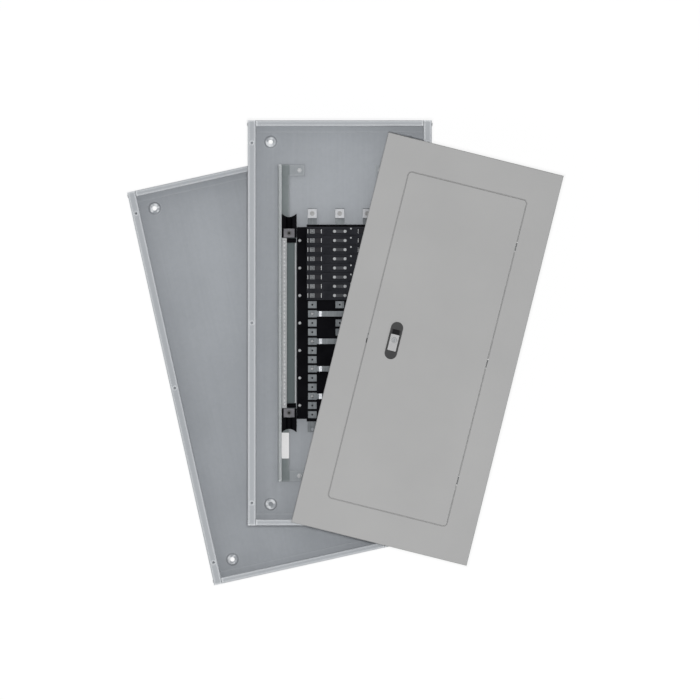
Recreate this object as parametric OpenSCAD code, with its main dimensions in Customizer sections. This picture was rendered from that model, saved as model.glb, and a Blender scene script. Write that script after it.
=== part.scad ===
// Panelboard enclosure set, fanned out face up as it is displayed: an empty back box at the
// bottom, the same back box fitted with its bus interior on it, and on top the trim front
// with its hinged door and slide latch. +X is to the right and +Y is the top end of the
// fitted box, +Z comes out of the fronts, and the origin is the middle of the floor plan.

/* [Back boxes] */
// Outside width of each back box
box_w = 508; // [460:1:560]
// Outside height of each back box
box_h = 1118; // [1040:1:1220]
// Depth of each back box, from the wall to its front flanges
box_d = 146; // [130:1:170]
// Thickness of the box steel
box_t = 1.6; // [1.2:0.1:2.2]
// Outside radius of the bends in the box steel
bend_r = 3.6; // [3:0.1:4.5]
// Width of the front flanges on the side walls
side_flange = 23; // [20:0.5:28]
// Width of the front flanges on the end walls
end_flange = 17; // [14:0.5:22]
// Depth of the lips turned back from the front flanges
lip_d = 10; // [8:0.5:14]
// Width of the tabs that fasten an end wall to the side walls
tab_w = 18; // [14:1:26]
// Width of the feet that fasten an end wall to the back
wall_foot = 30; // [18:1:36]
// Distance of the mounting holes from the sides of the box
mount_inset_x = 62; // [50:1:70]
// Distance of the mounting holes from the ends of the box
mount_inset_y = 56; // [56:1:70]
// Diameter of the mounting holes
mount_hole_d = 12.5; // [9:0.1:14]
// Diameter of the embossed seat round a mounting hole
boss_d = 38; // [34:1:40]
// Diameter of the flat on top of an embossed seat
boss_flat_d = 26; // [20:0.5:28]
// Height of an embossed seat
boss_h = 4; // [2:0.5:6]
// Diameter of the trim holes in the side flanges
trim_hole_d = 7; // [5:0.5:8]
// Distance of the outer trim holes from the ends of the box
trim_hole_inset = 62; // [45:1:90]

/* [Interior rails] */
// Height of the hexagon stand-offs that carry the rails
standoff_h = 12.4; // [8:0.1:18]
// Diameter of the threaded studs
stud_d = 6.3; // [5:0.1:8]
// Length of the studs above their stand-offs
stud_l = 16; // [12:1:22]
// Gap between the base and a rail's inner edge
rail_gap = 21.5; // [20.5:0.5:26]
// Width of a rail
rail_w = 31; // [30:0.5:35]
// Height of a rail's outer wall
rail_h = 28; // [20:1:36]
// Width of the lip on top of a rail's outer wall
rail_lip = 10; // [8:0.5:10.5]
// Length of a rail
rail_l = 880; // [850:1:960]
// Thickness of the rail steel
rail_t = 1.6; // [1.2:0.1:2.2]
// Distance of the studs from the inner edge of a rail
stud_reach = 28.5; // [22:0.5:34]
// Distance of the studs from the ends of a rail
stud_inset = 16; // [16:1:45]
// Width of a rail's foot tabs
foot_w = 30; // [24:1:32]
// Distance of the cross braces from the middle row
brace_y = 185; // [140:1:215]
// Width of a cross brace
brace_w = 44; // [34:1:60]
// Depth of a cross brace's turned-down edges
brace_edge = 8; // [5:0.5:9]

/* [Bus interior] */
// Number of breaker rows
rows = 21; // [18:3:24]
// Height of one breaker row
row_pitch = 25.4; // [24:0.1:26]
// Number of rows with a branch connector block
block_rows = 8; // [5:1:11]
// Gap between an outer bus bar and the breaker rail beside it
bus_margin = 3.1; // [2:0.1:5]
// Width of a bus bar
bus_w = 25.4; // [22:0.1:27]
// Thickness of a bus bar
bus_t = 6.4; // [5:0.1:8]
// Length of the bus bars past the top of the base, under the lugs
bus_top = 45; // [44:1:56]
// Length of the bus bars past the bottom of the base
bus_tail = 30; // [22:1:40]
// Width of the insulating base
base_w = 238; // [215:1:265]
// Length of the base past the first and last row
base_end = 6; // [3:0.5:12]
// Height of the base under the bus bars
base_h = 23; // [18:0.5:28]
// Wall thickness of the base
base_wall = 4; // [3:0.5:5]
// Width of the raised breaker rails along the base
base_rail = 27; // [25:0.5:28]
// Thickness of the insulating cover over the bus bars
cover_t = 3.6; // [3:0.1:5]
// Width of a window in the cover
window_w = 24; // [20:0.5:25]
// Height of a window in the cover
window_h = 19.6; // [16:0.1:21]
// Diameter of the breaker screw holes in the bus bars
bus_hole_d = 5.2; // [4:0.1:6]
// Width of a cross strap
strap_w = 15; // [12:0.5:17]
// Thickness of a cross strap
strap_t = 3; // [2:0.1:4]
// Height of a branch connector block
block_h = 15; // [13:0.5:20]

/* [Lugs and neutrals] */
// Side of a main lug
lug_w = 25; // [24:0.5:29]
// Height of a main lug
lug_h = 24; // [22:0.5:28]
// Diameter of the cable bore through a main lug
lug_bore_d = 15; // [12:0.5:16]
// Number of terminals on a neutral bar
neutral_screws = 42; // [36:1:42]
// Spacing of the neutral terminals
neutral_pitch = 11; // [10:0.1:11.2]
// Length of a neutral bar
neutral_l = 524; // [523:1:530]
// Gap between a neutral bar and the lip of the rail beside it
neutral_gap = 1.5; // [1:0.1:2.5]
// Width of a neutral bar's terminal block
terminal_w = 13; // [12:0.5:15]
// Width of a whole neutral bar
neutral_w = 39; // [37:0.5:39.5]
// Height of a neutral bar's terminal block
terminal_h = 18; // [16:0.5:22]
// Thickness of the floor and the flange of a neutral bar
neutral_t = 3.5; // [3:0.1:5]
// Diameter of the cable bore through a neutral lug
neutral_bore_d = 14.5; // [12:0.5:15]
// Height of a neutral bar above the rail floor
neutral_lift = 15; // [11:0.5:20]
// Length of a neutral support
support_l = 52; // [46:1:60]
// Height of a neutral support above the bar's seat
support_h = 22; // [18:1:28]

/* [Trim] */
// Depth of the trim, from its rear edge to its face
trim_d = 14; // [12:0.5:20]
// Thickness of the trim and door steel
trim_t = 1.6; // [1.2:0.1:2]
// Outside radius of the bends round the trim
trim_r = 3; // [2.6:0.1:4]
// Distance of the trim's edges inside those of a box
trim_inset = 5; // [0:0.5:8]
// Width of the trim beside the door
side_margin = 79; // [74:1:90]
// Height of the trim above and below the door
end_margin = 89; // [75:1:115]
// Gap round the door
door_gap = 2.5; // [2.4:0.1:3.2]
// Corner radius of the door opening
opening_r = 12; // [10:0.5:20]
// Depth of the lip round the door opening, and of the returns round the door
return_d = 8; // [6:0.5:9]
// Outside radius of the bends round the door
door_bend = 2.4; // [1.8:0.1:3]

/* [Hinges] */
// Distance of the hinge pins from the edge of the opening
hinge_set = 12; // [10.5:0.5:13]
// Depth of the hinge pins below the back of the trim face
hinge_drop = 5.2; // [5:0.1:6]
// Diameter of a hinge pin
pin_d = 3.8; // [3:0.1:4]
// Outside diameter of a hinge knuckle
knuckle_d = 7.4; // [6.8:0.1:8]
// Length of a hinge
hinge_l = 46; // [40:1:60]
// Length of each outer knuckle
knuckle_l = 11; // [8:0.5:13]
// Thickness of a gooseneck arm
arm_t = 2.4; // [2:0.1:2.6]
// Depth of a gooseneck arm below the pin
arm_drop = 15.5; // [15:0.5:18]
// Distance of the outer hinges from the ends of the door
hinge_inset = 130; // [90:1:200]

/* [Latch] */
// Distance of the latch centre from the free edge of the door
latch_inset = 72; // [66:1:80]
// Length of the latch housing's oval rim
latch_l = 105; // [96:1:112]
// Width of the latch housing's oval rim
latch_w = 34; // [32:0.5:38]
// Height of the oval rim above the door
latch_rim = 2.4; // [1.6:0.1:3]
// Width of the slide plate
slide_w = 24; // [22:0.5:24.5]
// Length of the slide plate
slide_l = 46; // [42:0.5:48]
// Thickness of the slide plate
slide_t = 3; // [2:0.1:4]
// Travel of the slide
slide_travel = 12; // [8:0.5:13]
// Diameter of the lock plug
plug_d = 13; // [11:0.5:14]
// Thickness of the bolt arm
bolt_t = 3; // [2:0.1:4]
// Width of the bolt arm
bolt_w = 10; // [8:0.5:11]
// Reach of the keeper into the opening
keeper_reach = 16; // [12:0.5:20]

/* [Directory] */
// Width of the directory card holder
holder_w = 190; // [150:1:200]
// Height of the directory card holder
holder_h = 240; // [200:1:260]

/* [Display layout] */
// Sideways place of the empty box from the fitted one
empty_x = -222; // [-240:1:-200]
// Lengthways place of the empty box from the fitted one
empty_y = -128; // [-150:1:-100]
// Turn of the empty box, in degrees
empty_turn = 12.5; // [8:0.5:16]
// Sideways place of the trim from the fitted box
trim_x = 242; // [230:1:255]
// Lengthways place of the trim from the fitted box
trim_y = -72; // [-90:1:-50]
// Turn of the trim, in degrees
trim_turn = -14; // [-16:0.5:-11]

/* [Fits] */
// Clearance between pieces that lie on or beside each other
fit = 0.2; // [0.1:0.05:0.3]
// Radial clearance of pins, studs and screws in their holes
pin_fit = 0.05; // [0.02:0.01:0.1]

/* [Hidden] */
$fn = 48;

// Overshoot of cuts through a face
cut = 1;

// Colours
galvanised = [0.60, 0.62, 0.64];
plated = [0.74, 0.75, 0.76];
tinned = [0.66, 0.68, 0.69];
black_moulding = [0.05, 0.05, 0.06];
grey_moulding = [0.27, 0.27, 0.27];
grey_paint = [0.67, 0.67, 0.67];
paper_white = [0.92, 0.92, 0.90];

// Back box
mount_x = box_w / 2 - mount_inset_x;
mount_y = box_h / 2 - mount_inset_y;
boss_steps = 8;
flange_hole_x = (box_w - side_flange) / 2;
trim_hole_y = box_h / 2 - trim_hole_inset;
wall_screw_y = box_h / 2 - tab_w / 2 - box_t / 2;
wall_screw_inset = 0.28 * box_d;
wall_screw_z = [wall_screw_inset, box_d - wall_screw_inset];
tab_margin = 14;
screw_head_d = 9;
screw_head_h = 2.6;
screw_shank_d = 4.2;
screw_hole_d = screw_shank_d + 2 * pin_fit;
screw_grip = 3 * box_t + fit;

// Interior heights above the outside of the box's back
rail_z = box_t + standoff_h;
brace_z = rail_z + rail_t;
base_z = brace_z + rail_t;
bus_z = base_z + base_h;
cover_z = bus_z + bus_t;
block_z = cover_z + cover_t;

// Interior plan
rail_inner = base_w / 2 + rail_gap;
rail_outer = rail_inner + rail_w;
rail_x = rail_inner + rail_w / 2;
stud_x = rail_inner - stud_reach;
stud_y = rail_l / 2 - stud_inset;
shoulder_d = 13;
nut_d = 12.8;
nut_h = 5.5;
rail_bend = 2 * rail_t;
foot_end = 14;
brace_setback = 9;
brace_edge_gap = 3;
brace_screw_inset = 5;
brace_half = rail_outer - brace_setback;
brace_span = rail_inner - brace_edge_gap;
brace_screw_x = rail_inner + brace_screw_inset;
brace_screw_step = brace_w / 4;
brace_screw_l = 3 * rail_t;
base_l = rows * row_pitch + 2 * base_end;
base_inner = base_w / 2 - base_rail;
base_notch = 7;
base_screw_inset = 8;
base_screw_x = base_w / 2 - base_screw_inset;
base_screw_step = 3 * row_pitch;
base_screw_count = floor((base_l / 2 - base_end) / base_screw_step);
bus_pitch = base_inner - bus_margin - bus_w / 2;
leg_x = bus_pitch / 2;
rib_w = 6;
tail_hole_d = 8;
strap_bolt_d = 9;
strap_bolt_h = 3.4;
strap_foot = 11;
strap_run = 20;
strap_ramp = 8;
strap_gap = 2;
strap_reach = 12;
strap_end = bus_pitch + strap_reach;
strap_window = strap_run + strap_ramp + strap_gap - window_w / 2;

// Branch connector blocks
block_gap = 0.8;
block_side_gap = 0.5;
block_half = base_inner - block_side_gap;
block_l = row_pitch - block_gap;
block_floor = 3;
pocket_reach = 26.2;
pocket_in = bus_pitch - pocket_reach;
pocket_wall = 2;
pocket_w = 17;
pocket_l = block_half - pocket_wall - pocket_in;
notch_d = 5;
notch_w = 4;
link_half = 20;
link_w = 9;
link_t = 2.5;
link_pocket_half = 22;
link_pocket_w = 13;
link_screw_x = 14.5;
link_screw_d = 8.4;
clip_w = 12;
clip_t = 1.6;
clip_h = 10;
plate_w = 13;
plate_t = 3;
rivet_gap = 9;
rivet_x = link_pocket_half + rivet_gap;
rivet_d = 5;
rivet_h = 1.2;
rivet_y = block_l / 2 - rivet_d;
rivet_hole_d = rivet_d / 2 + 2 * pin_fit;

// Lugs and neutral bars
lug_wall = 2;
lug_setback = 2;
lug_y = base_l / 2 + bus_top - lug_w / 2 - lug_setback;
lug_screw_d = 13;
lug_socket_d = 7;
lug_screw_sink = 1;
lug_screw_l = lug_h - lug_screw_sink - lug_wall - lug_bore_d - fit;
socket_share = 0.6;
neutral_x = rail_outer - rail_lip - neutral_gap;
neutral_z = brace_z + neutral_lift;
flange_step = 2;
flange_h = terminal_h - flange_step;
terminal_x = neutral_x - terminal_w / 2;
terminal_z = neutral_z + terminal_h;
wire_d = 6.4;
neutral_head_d = 8;
neutral_head_h = 2.6;
neutral_shank_d = 4;
support_gap = 0.6;
support_lap = 12;
support_in = base_w / 2 + support_gap;
support_out = rail_outer - rail_lip - support_gap;
support_y = neutral_l / 2 - support_lap;
support_seat = 6;
saddle_r = 26;
saddle_d = 8;
cheek_w = 4;
cheek_gap = 0.5;
neutral_lug_l = 24;
neutral_lug_h = 22;
neutral_lug_setback = 1;
neutral_lug_w = neutral_w - 2 * (cheek_w + cheek_gap);
neutral_channel_d = neutral_bore_d + 2 * lug_wall;
neutral_screw_l = neutral_lug_h - lug_screw_sink - lug_wall - neutral_bore_d - fit;
neutral_lug_x = neutral_x - neutral_w / 2;
neutral_lug_y = (neutral_l - neutral_lug_l) / 2 - neutral_lug_setback;
terminal_l = neutral_l - 2 * (neutral_lug_l + 2 * neutral_lug_setback);
flange_setback = 14;
flange_l = terminal_l - 2 * flange_setback;

// Trim and door
trim_w = box_w - 2 * trim_inset;
trim_h = box_h - 2 * trim_inset;
open_w = trim_w - 2 * side_margin;
open_h = trim_h - 2 * end_margin;
door_w = open_w - 2 * door_gap;
door_h = open_h - 2 * door_gap;
door_r = opening_r - door_gap;
door_edge = door_bend + trim_t / 2;
face_z = trim_d - trim_t;
trim_edge = trim_r + trim_t / 2;
stop_gap = 0.6;
stop_reach = 6;
stop_clear = 1.5;
lip_z = face_z - return_d - stop_gap;
hook_t = 2;
hook_w = 24;
hook_foot = 12;
hook_lug = 6;
hook_gap = 1;
hook_x = box_w / 2 - side_flange - hook_gap - hook_t;
hook_drop = lip_d + hook_gap;

// Hinges, with the pins' line in the trim's frame
pin_line_x = open_w / 2 + hinge_set;
pin_line_z = face_z - hinge_drop;
hinge_ys = [-1, 0, 1] * (door_h / 2 - hinge_inset);
knuckle_end_gap = 0.4;
arm_l = hinge_l - 2 * (knuckle_l + knuckle_end_gap);
arm_gap = 1.5;
arm_run = hinge_set + door_gap + trim_t + arm_t / 2 + arm_gap;
arm_leaf = 24;
leaf_t = 1.6;
leaf_w = 20;
leaf_gap = 0.8;
leaf_clear = knuckle_d / 2 + leaf_gap;
notch_gap = 4;
lip_notch = hinge_l + 2 * notch_gap;

// Latch, with its centre on the door's middle line
latch_x = latch_inset - door_w / 2;
rim_l = 4;
rim_w = 3;
rim_r = 0.8 * latch_rim;
cup_l = latch_l - 2 * rim_l;
cup_w = latch_w - 2 * rim_w;
cup_wall = 1.5;
cup_fit = 0.5;
slide_fit = 0.3;
slide_top = 17;
slide_r = 2;
slide_proud = 0.6;
slide_stop = 2;
slide_y = slide_top - slide_l / 2;
slot_top = slide_top + slide_travel + slide_stop;
slot_bottom = slide_top - slide_l - slide_stop / 2;
slot_l = slot_top - slot_bottom;
slide_rest_z = trim_d - slide_t + slide_proud;
track_ledge = 3;
well_w = slide_w - 2 * track_ledge;
bolt_drop = 12;
bolt_y = slide_y - bolt_drop;
bolt_tip_gap = 1;
keeper_t = 2;
keeper_gap = 1.2;
keeper_z = face_z - return_d - keeper_gap - keeper_t;
keeper_w = slide_travel;
keeper_y = bolt_y + bolt_w / 2 + slide_stop;
bolt_gap = 0.6;
bolt_z = keeper_z - bolt_gap - bolt_t;
cup_gap = 1.4;
cup_floor_z = bolt_z + bolt_t + cup_gap;
stem_w = 8;
plug_rise = 8;
plug_y = slide_y + plug_rise;
plug_top = 0.8;
plug_h = 7;
plug_z = slide_rest_z + slide_t + plug_top - plug_h;
cam_t = 2;
cam_gap = 2;
cam_l = well_w / 2 - cam_gap;
keyway_w = 1.6;
clip_rim = 5;
clip_sheet = 1.2;

// Directory card
holder_x = 40;
holder_y = 180;
holder_t = 2.2;
holder_rim = 12;
holder_wall = 3;
card_t = 0.4;
card_w = holder_w - 2 * holder_wall;
card_h = holder_h - 2 * holder_wall;

// Display layout
box_z = box_d + fit;
trim_z = box_z + box_d + fit;
function plan_corners(w, h, x, y, turn) = [
    for (sx = [-1, 1], sy = [-1, 1]) [
        x + sx * w / 2 * cos(turn) - sy * h / 2 * sin(turn),
        y + sx * w / 2 * sin(turn) + sy * h / 2 * cos(turn)
    ]
];
plan = concat(
    plan_corners(box_w, box_h, 0, 0, 0),
    plan_corners(box_w, box_h, empty_x, empty_y, empty_turn),
    plan_corners(trim_w, trim_h, trim_x, trim_y, trim_turn)
);
plan_xs = [for (p = plan) p.x];
plan_ys = [for (p = plan) p.y];
middle = [(min(plan_xs) + max(plan_xs)) / 2, (min(plan_ys) + max(plan_ys)) / 2, 0];

// Row k counts from the top end; its phase is the side of the bus bar that feeds it
function row_y(k) = ((rows - 1) / 2 - k) * row_pitch;
function phase(k) = k % 3 - 1;
function has_strap(k) = k >= block_rows && phase(k) == -1;
function has_window(k, side) = k < block_rows || has_strap(k) ? side == phase(k) : true;

// Places
module place_empty() {
    translate([empty_x, empty_y, 0] - middle) rotate([0, 0, empty_turn]) children();
}

module place_box() {
    translate([0, 0, box_z] - middle) children();
}

module place_trim() {
    translate([trim_x, trim_y, trim_z] - middle) rotate([0, 0, trim_turn]) children();
}

module at_corners(x, y) {
    for (sx = [-1, 1], sy = [-1, 1]) translate([sx * x, sy * y, 0]) children();
}

module at_quarters() {
    for (sx = [0, 1], sy = [0, 1]) mirror([sx, 0, 0]) mirror([0, sy, 0]) children();
}

module along_y(l) {
    rotate([90, 0, 0]) linear_extrude(l, center = true) children();
}

module along_x(l) {
    rotate([90, 0, 90]) linear_extrude(l, center = true) children();
}

// Shared shapes
module quarter_ring(r, t) {
    intersection() {
        difference() {
            circle(r);
            circle(r - t);
        }
        square(r);
    }
}

module rounded_rect(w, h, r) {
    square([w - 2 * r, h], center = true);
    square([w, h - 2 * r], center = true);
    at_corners(w / 2 - r, h / 2 - r) circle(r);
}

module stadium(l, w) {
    square([w, l - w], center = true);
    for (s = [-1, 1]) translate([0, s * (l - w) / 2]) circle(w / 2);
}

// A pan-head screw that stands on z = 0 with its shank below and a straight slot
module pan_screw(head_d, head_h, shank_d, shank_l) {
    slot_w = head_d / 7;
    rim = 0.45 * head_h;
    shoulder = [0.36 * head_d, 0.9 * head_h];
    crown = [0.2 * head_d, head_h];
    difference() {
        rotate_extrude() polygon([
            [0, -shank_l], [shank_d / 2, -shank_l], [shank_d / 2, 0], [head_d / 2, 0],
            [head_d / 2, rim], shoulder, crown, [0, head_h]
        ]);
        translate([-head_d, -slot_w / 2, head_h / 2]) cube([2 * head_d, slot_w, head_h]);
    }
}

// Socket set screw, with its top at z = 0
module set_screw(d, l) {
    difference() {
        translate([0, 0, -l]) cylinder(d = d, h = l);
        translate([0, 0, -socket_share * l]) cylinder(d = lug_socket_d, h = l, $fn = 6);
    }
}

// Back box

// One half of the shell's section: back, side wall, front flange and its lip
module side_section() {
    edge = box_w / 2;
    square([edge - bend_r, box_t]);
    translate([edge - bend_r, bend_r]) mirror([0, 1]) quarter_ring(bend_r, box_t);
    translate([edge - box_t, bend_r]) square([box_t, box_d - 2 * bend_r]);
    front_flange_section(edge, side_flange);
}

// A front flange that runs in from a wall's outer face at x = edge
module front_flange_section(edge, width) {
    translate([edge - bend_r, box_d - bend_r]) quarter_ring(bend_r, box_t);
    translate([edge - width + bend_r, box_d - box_t]) square([width - 2 * bend_r, box_t]);
    translate([edge - width + bend_r, box_d - bend_r]) mirror([1, 0]) quarter_ring(bend_r, box_t);
    translate([edge - width, box_d - lip_d]) square([box_t, lip_d - bend_r]);
}

// The embossed seat of a mounting hole, raised into the box
module mount_boss() {
    outer = boss_d / 2;
    inner = boss_flat_d / 2;
    slope = [for (i = [0 : boss_steps]) [
        outer - (outer - inner) * i / boss_steps,
        boss_h * (1 - cos(180 * i / boss_steps)) / 2
    ]];
    top = [for (p = slope) p + [0, box_t]];
    bottom = [for (i = [boss_steps : -1 : 0]) slope[i]];
    bore = [[mount_hole_d / 2, boss_h + box_t], [mount_hole_d / 2, boss_h]];
    rotate_extrude() polygon(concat(top, bore, bottom));
}

module wall_screw_places() {
    for (sx = [-1, 1], sy = [-1, 1], z = wall_screw_z)
        translate([sx * box_w / 2, sy * wall_screw_y, z]) rotate([0, sx * 90, 0]) children();
}

module wall_screw_holes() {
    wall_screw_places() translate([0, 0, -screw_grip]) cylinder(d = screw_hole_d, h = screw_grip + cut);
}

module back_box_shell() {
    difference() {
        along_y(box_h) {
            side_section();
            mirror([1, 0]) side_section();
        }
        at_corners(mount_x, mount_y) translate([0, 0, -cut])
            cylinder(d = boss_d, h = box_t + 2 * cut);
        for (sx = [-1, 1], y = [-trim_hole_y, 0, trim_hole_y])
            translate([sx * flange_hole_x, y, box_d - box_t - cut])
                cylinder(d = trim_hole_d, h = box_t + 2 * cut);
        wall_screw_holes();
    }
    at_corners(mount_x, mount_y) mount_boss();
}

// The flat of an end wall, notched round the side walls' flanges and lips
module end_wall_outline() {
    half = box_w / 2 - box_t - fit;
    inner = box_w / 2 - side_flange - fit;
    foot = box_t + fit;
    channel = side_flange - 2 * box_t - 2 * fit;
    translate([-half, foot]) square([2 * half, box_d - lip_d - fit - foot]);
    translate([-inner, foot]) square([2 * inner, box_d - bend_r - foot]);
    for (sx = [0, 1]) mirror([sx, 0])
        translate([half - channel, foot]) square([channel, box_d - box_t - fit - foot]);
}

// The end wall at the top end: a flat with a front flange, two side tabs and a foot
module back_box_end_wall() {
    half = box_w / 2 - box_t - fit;
    difference() {
        union() {
            translate([0, box_h / 2, 0]) rotate([90, 0, 0])
                linear_extrude(box_t) end_wall_outline();
            along_x(box_w - 2 * side_flange - 2 * fit)
                front_flange_section(box_h / 2, end_flange);
            translate([tab_margin - half, box_h / 2 - wall_foot, box_t + fit])
                cube([2 * (half - tab_margin), wall_foot, box_t]);
            for (sx = [0, 1]) mirror([sx, 0, 0])
                translate([half - box_t, box_h / 2 - tab_w, tab_margin])
                    cube([box_t, tab_w, box_d - lip_d - 2 * tab_margin]);
        }
        wall_screw_holes();
    }
}

module back_box_wall_screws() {
    wall_screw_places() pan_screw(screw_head_d, screw_head_h, screw_shank_d, screw_grip);
}

module empty_box_shell() {
    color(galvanised) place_empty() back_box_shell();
}

module empty_box_top_wall() {
    color(galvanised) place_empty() back_box_end_wall();
}

module empty_box_bottom_wall() {
    color(galvanised) place_empty() mirror([0, 1, 0]) back_box_end_wall();
}

module empty_box_wall_screws() {
    color(plated) place_empty() back_box_wall_screws();
}

module box_shell() {
    color(galvanised) place_box() back_box_shell();
}

module box_top_wall() {
    color(galvanised) place_box() back_box_end_wall();
}

module box_bottom_wall() {
    color(galvanised) place_box() mirror([0, 1, 0]) back_box_end_wall();
}

module box_wall_screws() {
    color(plated) place_box() back_box_wall_screws();
}

// Interior rails

module interior_studs() {
    color(plated) place_box() at_corners(stud_x, stud_y) translate([0, 0, box_t]) {
        cylinder(d = shoulder_d, h = standoff_h, $fn = 6);
        cylinder(d = stud_d, h = standoff_h + stud_l);
    }
}

module interior_nuts() {
    color(plated) place_box() at_corners(stud_x, stud_y) translate([0, 0, brace_z]) difference() {
        cylinder(d = nut_d, h = nut_h, $fn = 6);
        translate([0, 0, -cut]) cylinder(d = stud_d + 2 * pin_fit, h = nut_h + 2 * cut);
    }
}

// Section of a rail: a floor, an outer wall and a lip turned in over the floor
module rail_section() {
    edge = rail_w / 2;
    translate([-edge, 0]) square([rail_w - rail_bend, rail_t]);
    translate([edge - rail_bend, rail_bend]) mirror([0, 1]) quarter_ring(rail_bend, rail_t);
    translate([edge - rail_t, rail_bend]) square([rail_t, rail_h - 2 * rail_bend]);
    translate([edge - rail_bend, rail_h - rail_bend]) quarter_ring(rail_bend, rail_t);
    translate([edge - rail_lip, rail_h - rail_t]) square([rail_lip - rail_bend, rail_t]);
}

// The right rail, with a foot tab over each stud and holes for the brace screws
module rail() {
    tab_in = stud_x - foot_end;
    tab_out = rail_inner + cut;
    difference() {
        union() {
            translate([rail_x, 0, rail_z]) along_y(rail_l) rail_section();
            for (sy = [-1, 1]) translate([tab_in, sy * stud_y - foot_w / 2, rail_z])
                cube([tab_out - tab_in, foot_w, rail_t]);
        }
        for (sy = [-1, 1]) translate([stud_x, sy * stud_y, rail_z - cut])
            cylinder(d = stud_d + 2 * pin_fit, h = rail_t + 2 * cut);
        brace_screw_holes();
    }
}

module right_rail() {
    color(galvanised) place_box() rail();
}

module left_rail() {
    color(galvanised) place_box() mirror([1, 0, 0]) rail();
}

module brace_screw_places() {
    for (sx = [-1, 1], sy = [-1, 1], s = [-1, 1])
        translate([sx * brace_screw_x, sy * brace_y + s * brace_screw_step, base_z]) children();
}

module brace_screw_holes() {
    brace_screw_places() translate([0, 0, -2 * rail_t - cut])
        cylinder(d = screw_hole_d, h = 2 * rail_t + 2 * cut);
}

// Two cross braces that lie on the rail floors and carry the base
module cross_braces() {
    color(galvanised) place_box() difference() {
        for (sy = [-1, 1]) translate([0, sy * brace_y, brace_z]) {
            translate([-brace_half, -brace_w / 2, 0]) cube([2 * brace_half, brace_w, rail_t]);
            for (y = [-brace_w / 2, brace_w / 2 - rail_t]) translate([-brace_span, y, -brace_edge])
                cube([2 * brace_span, rail_t, brace_edge + rail_t]);
        }
        brace_screw_holes();
    }
}

module brace_screws() {
    color(plated) place_box() brace_screw_places()
        pan_screw(screw_head_d, screw_head_h, screw_shank_d, brace_screw_l);
}

// Bus interior

// Section of the moulded base: a deck on legs, ribs between the bus bars and two breaker rails
module base_section() {
    half = base_w / 2;
    translate([-half, base_h - base_wall]) square([base_w, base_wall]);
    for (x = [base_wall / 2 - half, -leg_x, leg_x, half - base_wall / 2])
        translate([x - base_wall / 2, 0]) square([base_wall, base_h]);
    for (sx = [-1, 1]) translate([sx * bus_pitch / 2 - rib_w / 2, base_h - base_wall])
        square([rib_w, base_wall + bus_t]);
    for (x = [-half, base_inner]) translate([x, base_h - base_wall])
        square([base_rail, base_wall + bus_t + cover_t]);
}

module base_screw_places() {
    for (sx = [-1, 1], i = [-base_screw_count : base_screw_count])
        translate([sx * base_screw_x, i * base_screw_step, block_z]) children();
}

module bus_base() {
    grip = bus_t + cover_t;
    color(black_moulding) place_box() difference() {
        translate([0, 0, base_z]) along_y(base_l) base_section();
        base_screw_places() translate([0, 0, -grip]) cylinder(d = screw_hole_d, h = grip + cut);
        at_corners(base_w / 2, base_l / 2) cube([2 * base_rail, 2 * base_notch, box_d], center = true);
    }
}

module base_screws() {
    color(plated) place_box() base_screw_places()
        pan_screw(screw_head_d, screw_head_h, screw_shank_d, bus_t + cover_t);
}

// One bus bar, with a screw hole at every row and one in its tail
module bus_bar(side) {
    top = base_l / 2 + bus_top;
    tail = base_l / 2 + bus_tail;
    color(tinned) place_box() translate([side * bus_pitch, 0, bus_z])
        linear_extrude(bus_t) difference() {
            translate([-bus_w / 2, -tail]) square([bus_w, top + tail]);
            for (k = [0 : rows - 1]) translate([0, row_y(k)]) circle(d = bus_hole_d);
            translate([0, tail_hole_d - tail]) circle(d = tail_hole_d);
        }
}

module left_bus_bar() {
    bus_bar(-1);
}

module center_bus_bar() {
    bus_bar(0);
}

module right_bus_bar() {
    bus_bar(1);
}

// Insulating cover over the bus bars, with a window wherever a row may take its feed
module bus_cover() {
    half = base_inner - fit;
    color(black_moulding) place_box() translate([0, 0, cover_z]) linear_extrude(cover_t) difference() {
        translate([-half, -base_l / 2]) square([2 * half, base_l]);
        for (k = [0 : rows - 1], side = [-1, 0, 1]) if (has_window(k, side)) {
            width = has_strap(k) ? window_w + strap_window : window_w;
            translate([side * bus_pitch - window_w / 2, row_y(k) - window_h / 2])
                square([width, window_h]);
        }
    }
}

// Cross straps: each is bolted to the left bus bar, climbs over the cover and runs to the right
module cross_straps() {
    foot = -bus_pitch - strap_foot;
    rise = -bus_pitch + strap_run;
    low = cover_z;
    high = block_z + fit;
    top = rise + strap_ramp;
    color(tinned) place_box() for (k = [0 : rows - 1]) if (has_strap(k))
        translate([0, row_y(k), 0]) difference() {
            along_y(strap_w) polygon([
                [foot, low], [rise, low], [top, high], [strap_end, high],
                [strap_end, high + strap_t], [top - strap_t / 2, high + strap_t],
                [rise - strap_t / 2, low + strap_t], [foot, low + strap_t]
            ]);
            translate([-bus_pitch, 0, low - cut]) cylinder(d = bus_hole_d, h = strap_t + 2 * cut);
        }
}

module strap_bolts() {
    color(plated) place_box() for (k = [0 : rows - 1]) if (has_strap(k))
        translate([-bus_pitch, row_y(k), cover_z + strap_t])
            pan_screw(strap_bolt_d, strap_bolt_h, bus_hole_d - 2 * pin_fit, strap_t + bus_t);
}

// Branch connector blocks: one moulding a row, with two terminal pockets and a middle pocket
module connector_blocks() {
    color(black_moulding) place_box() for (k = [0 : block_rows - 1])
        translate([0, row_y(k), block_z]) connector_block();
}

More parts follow.
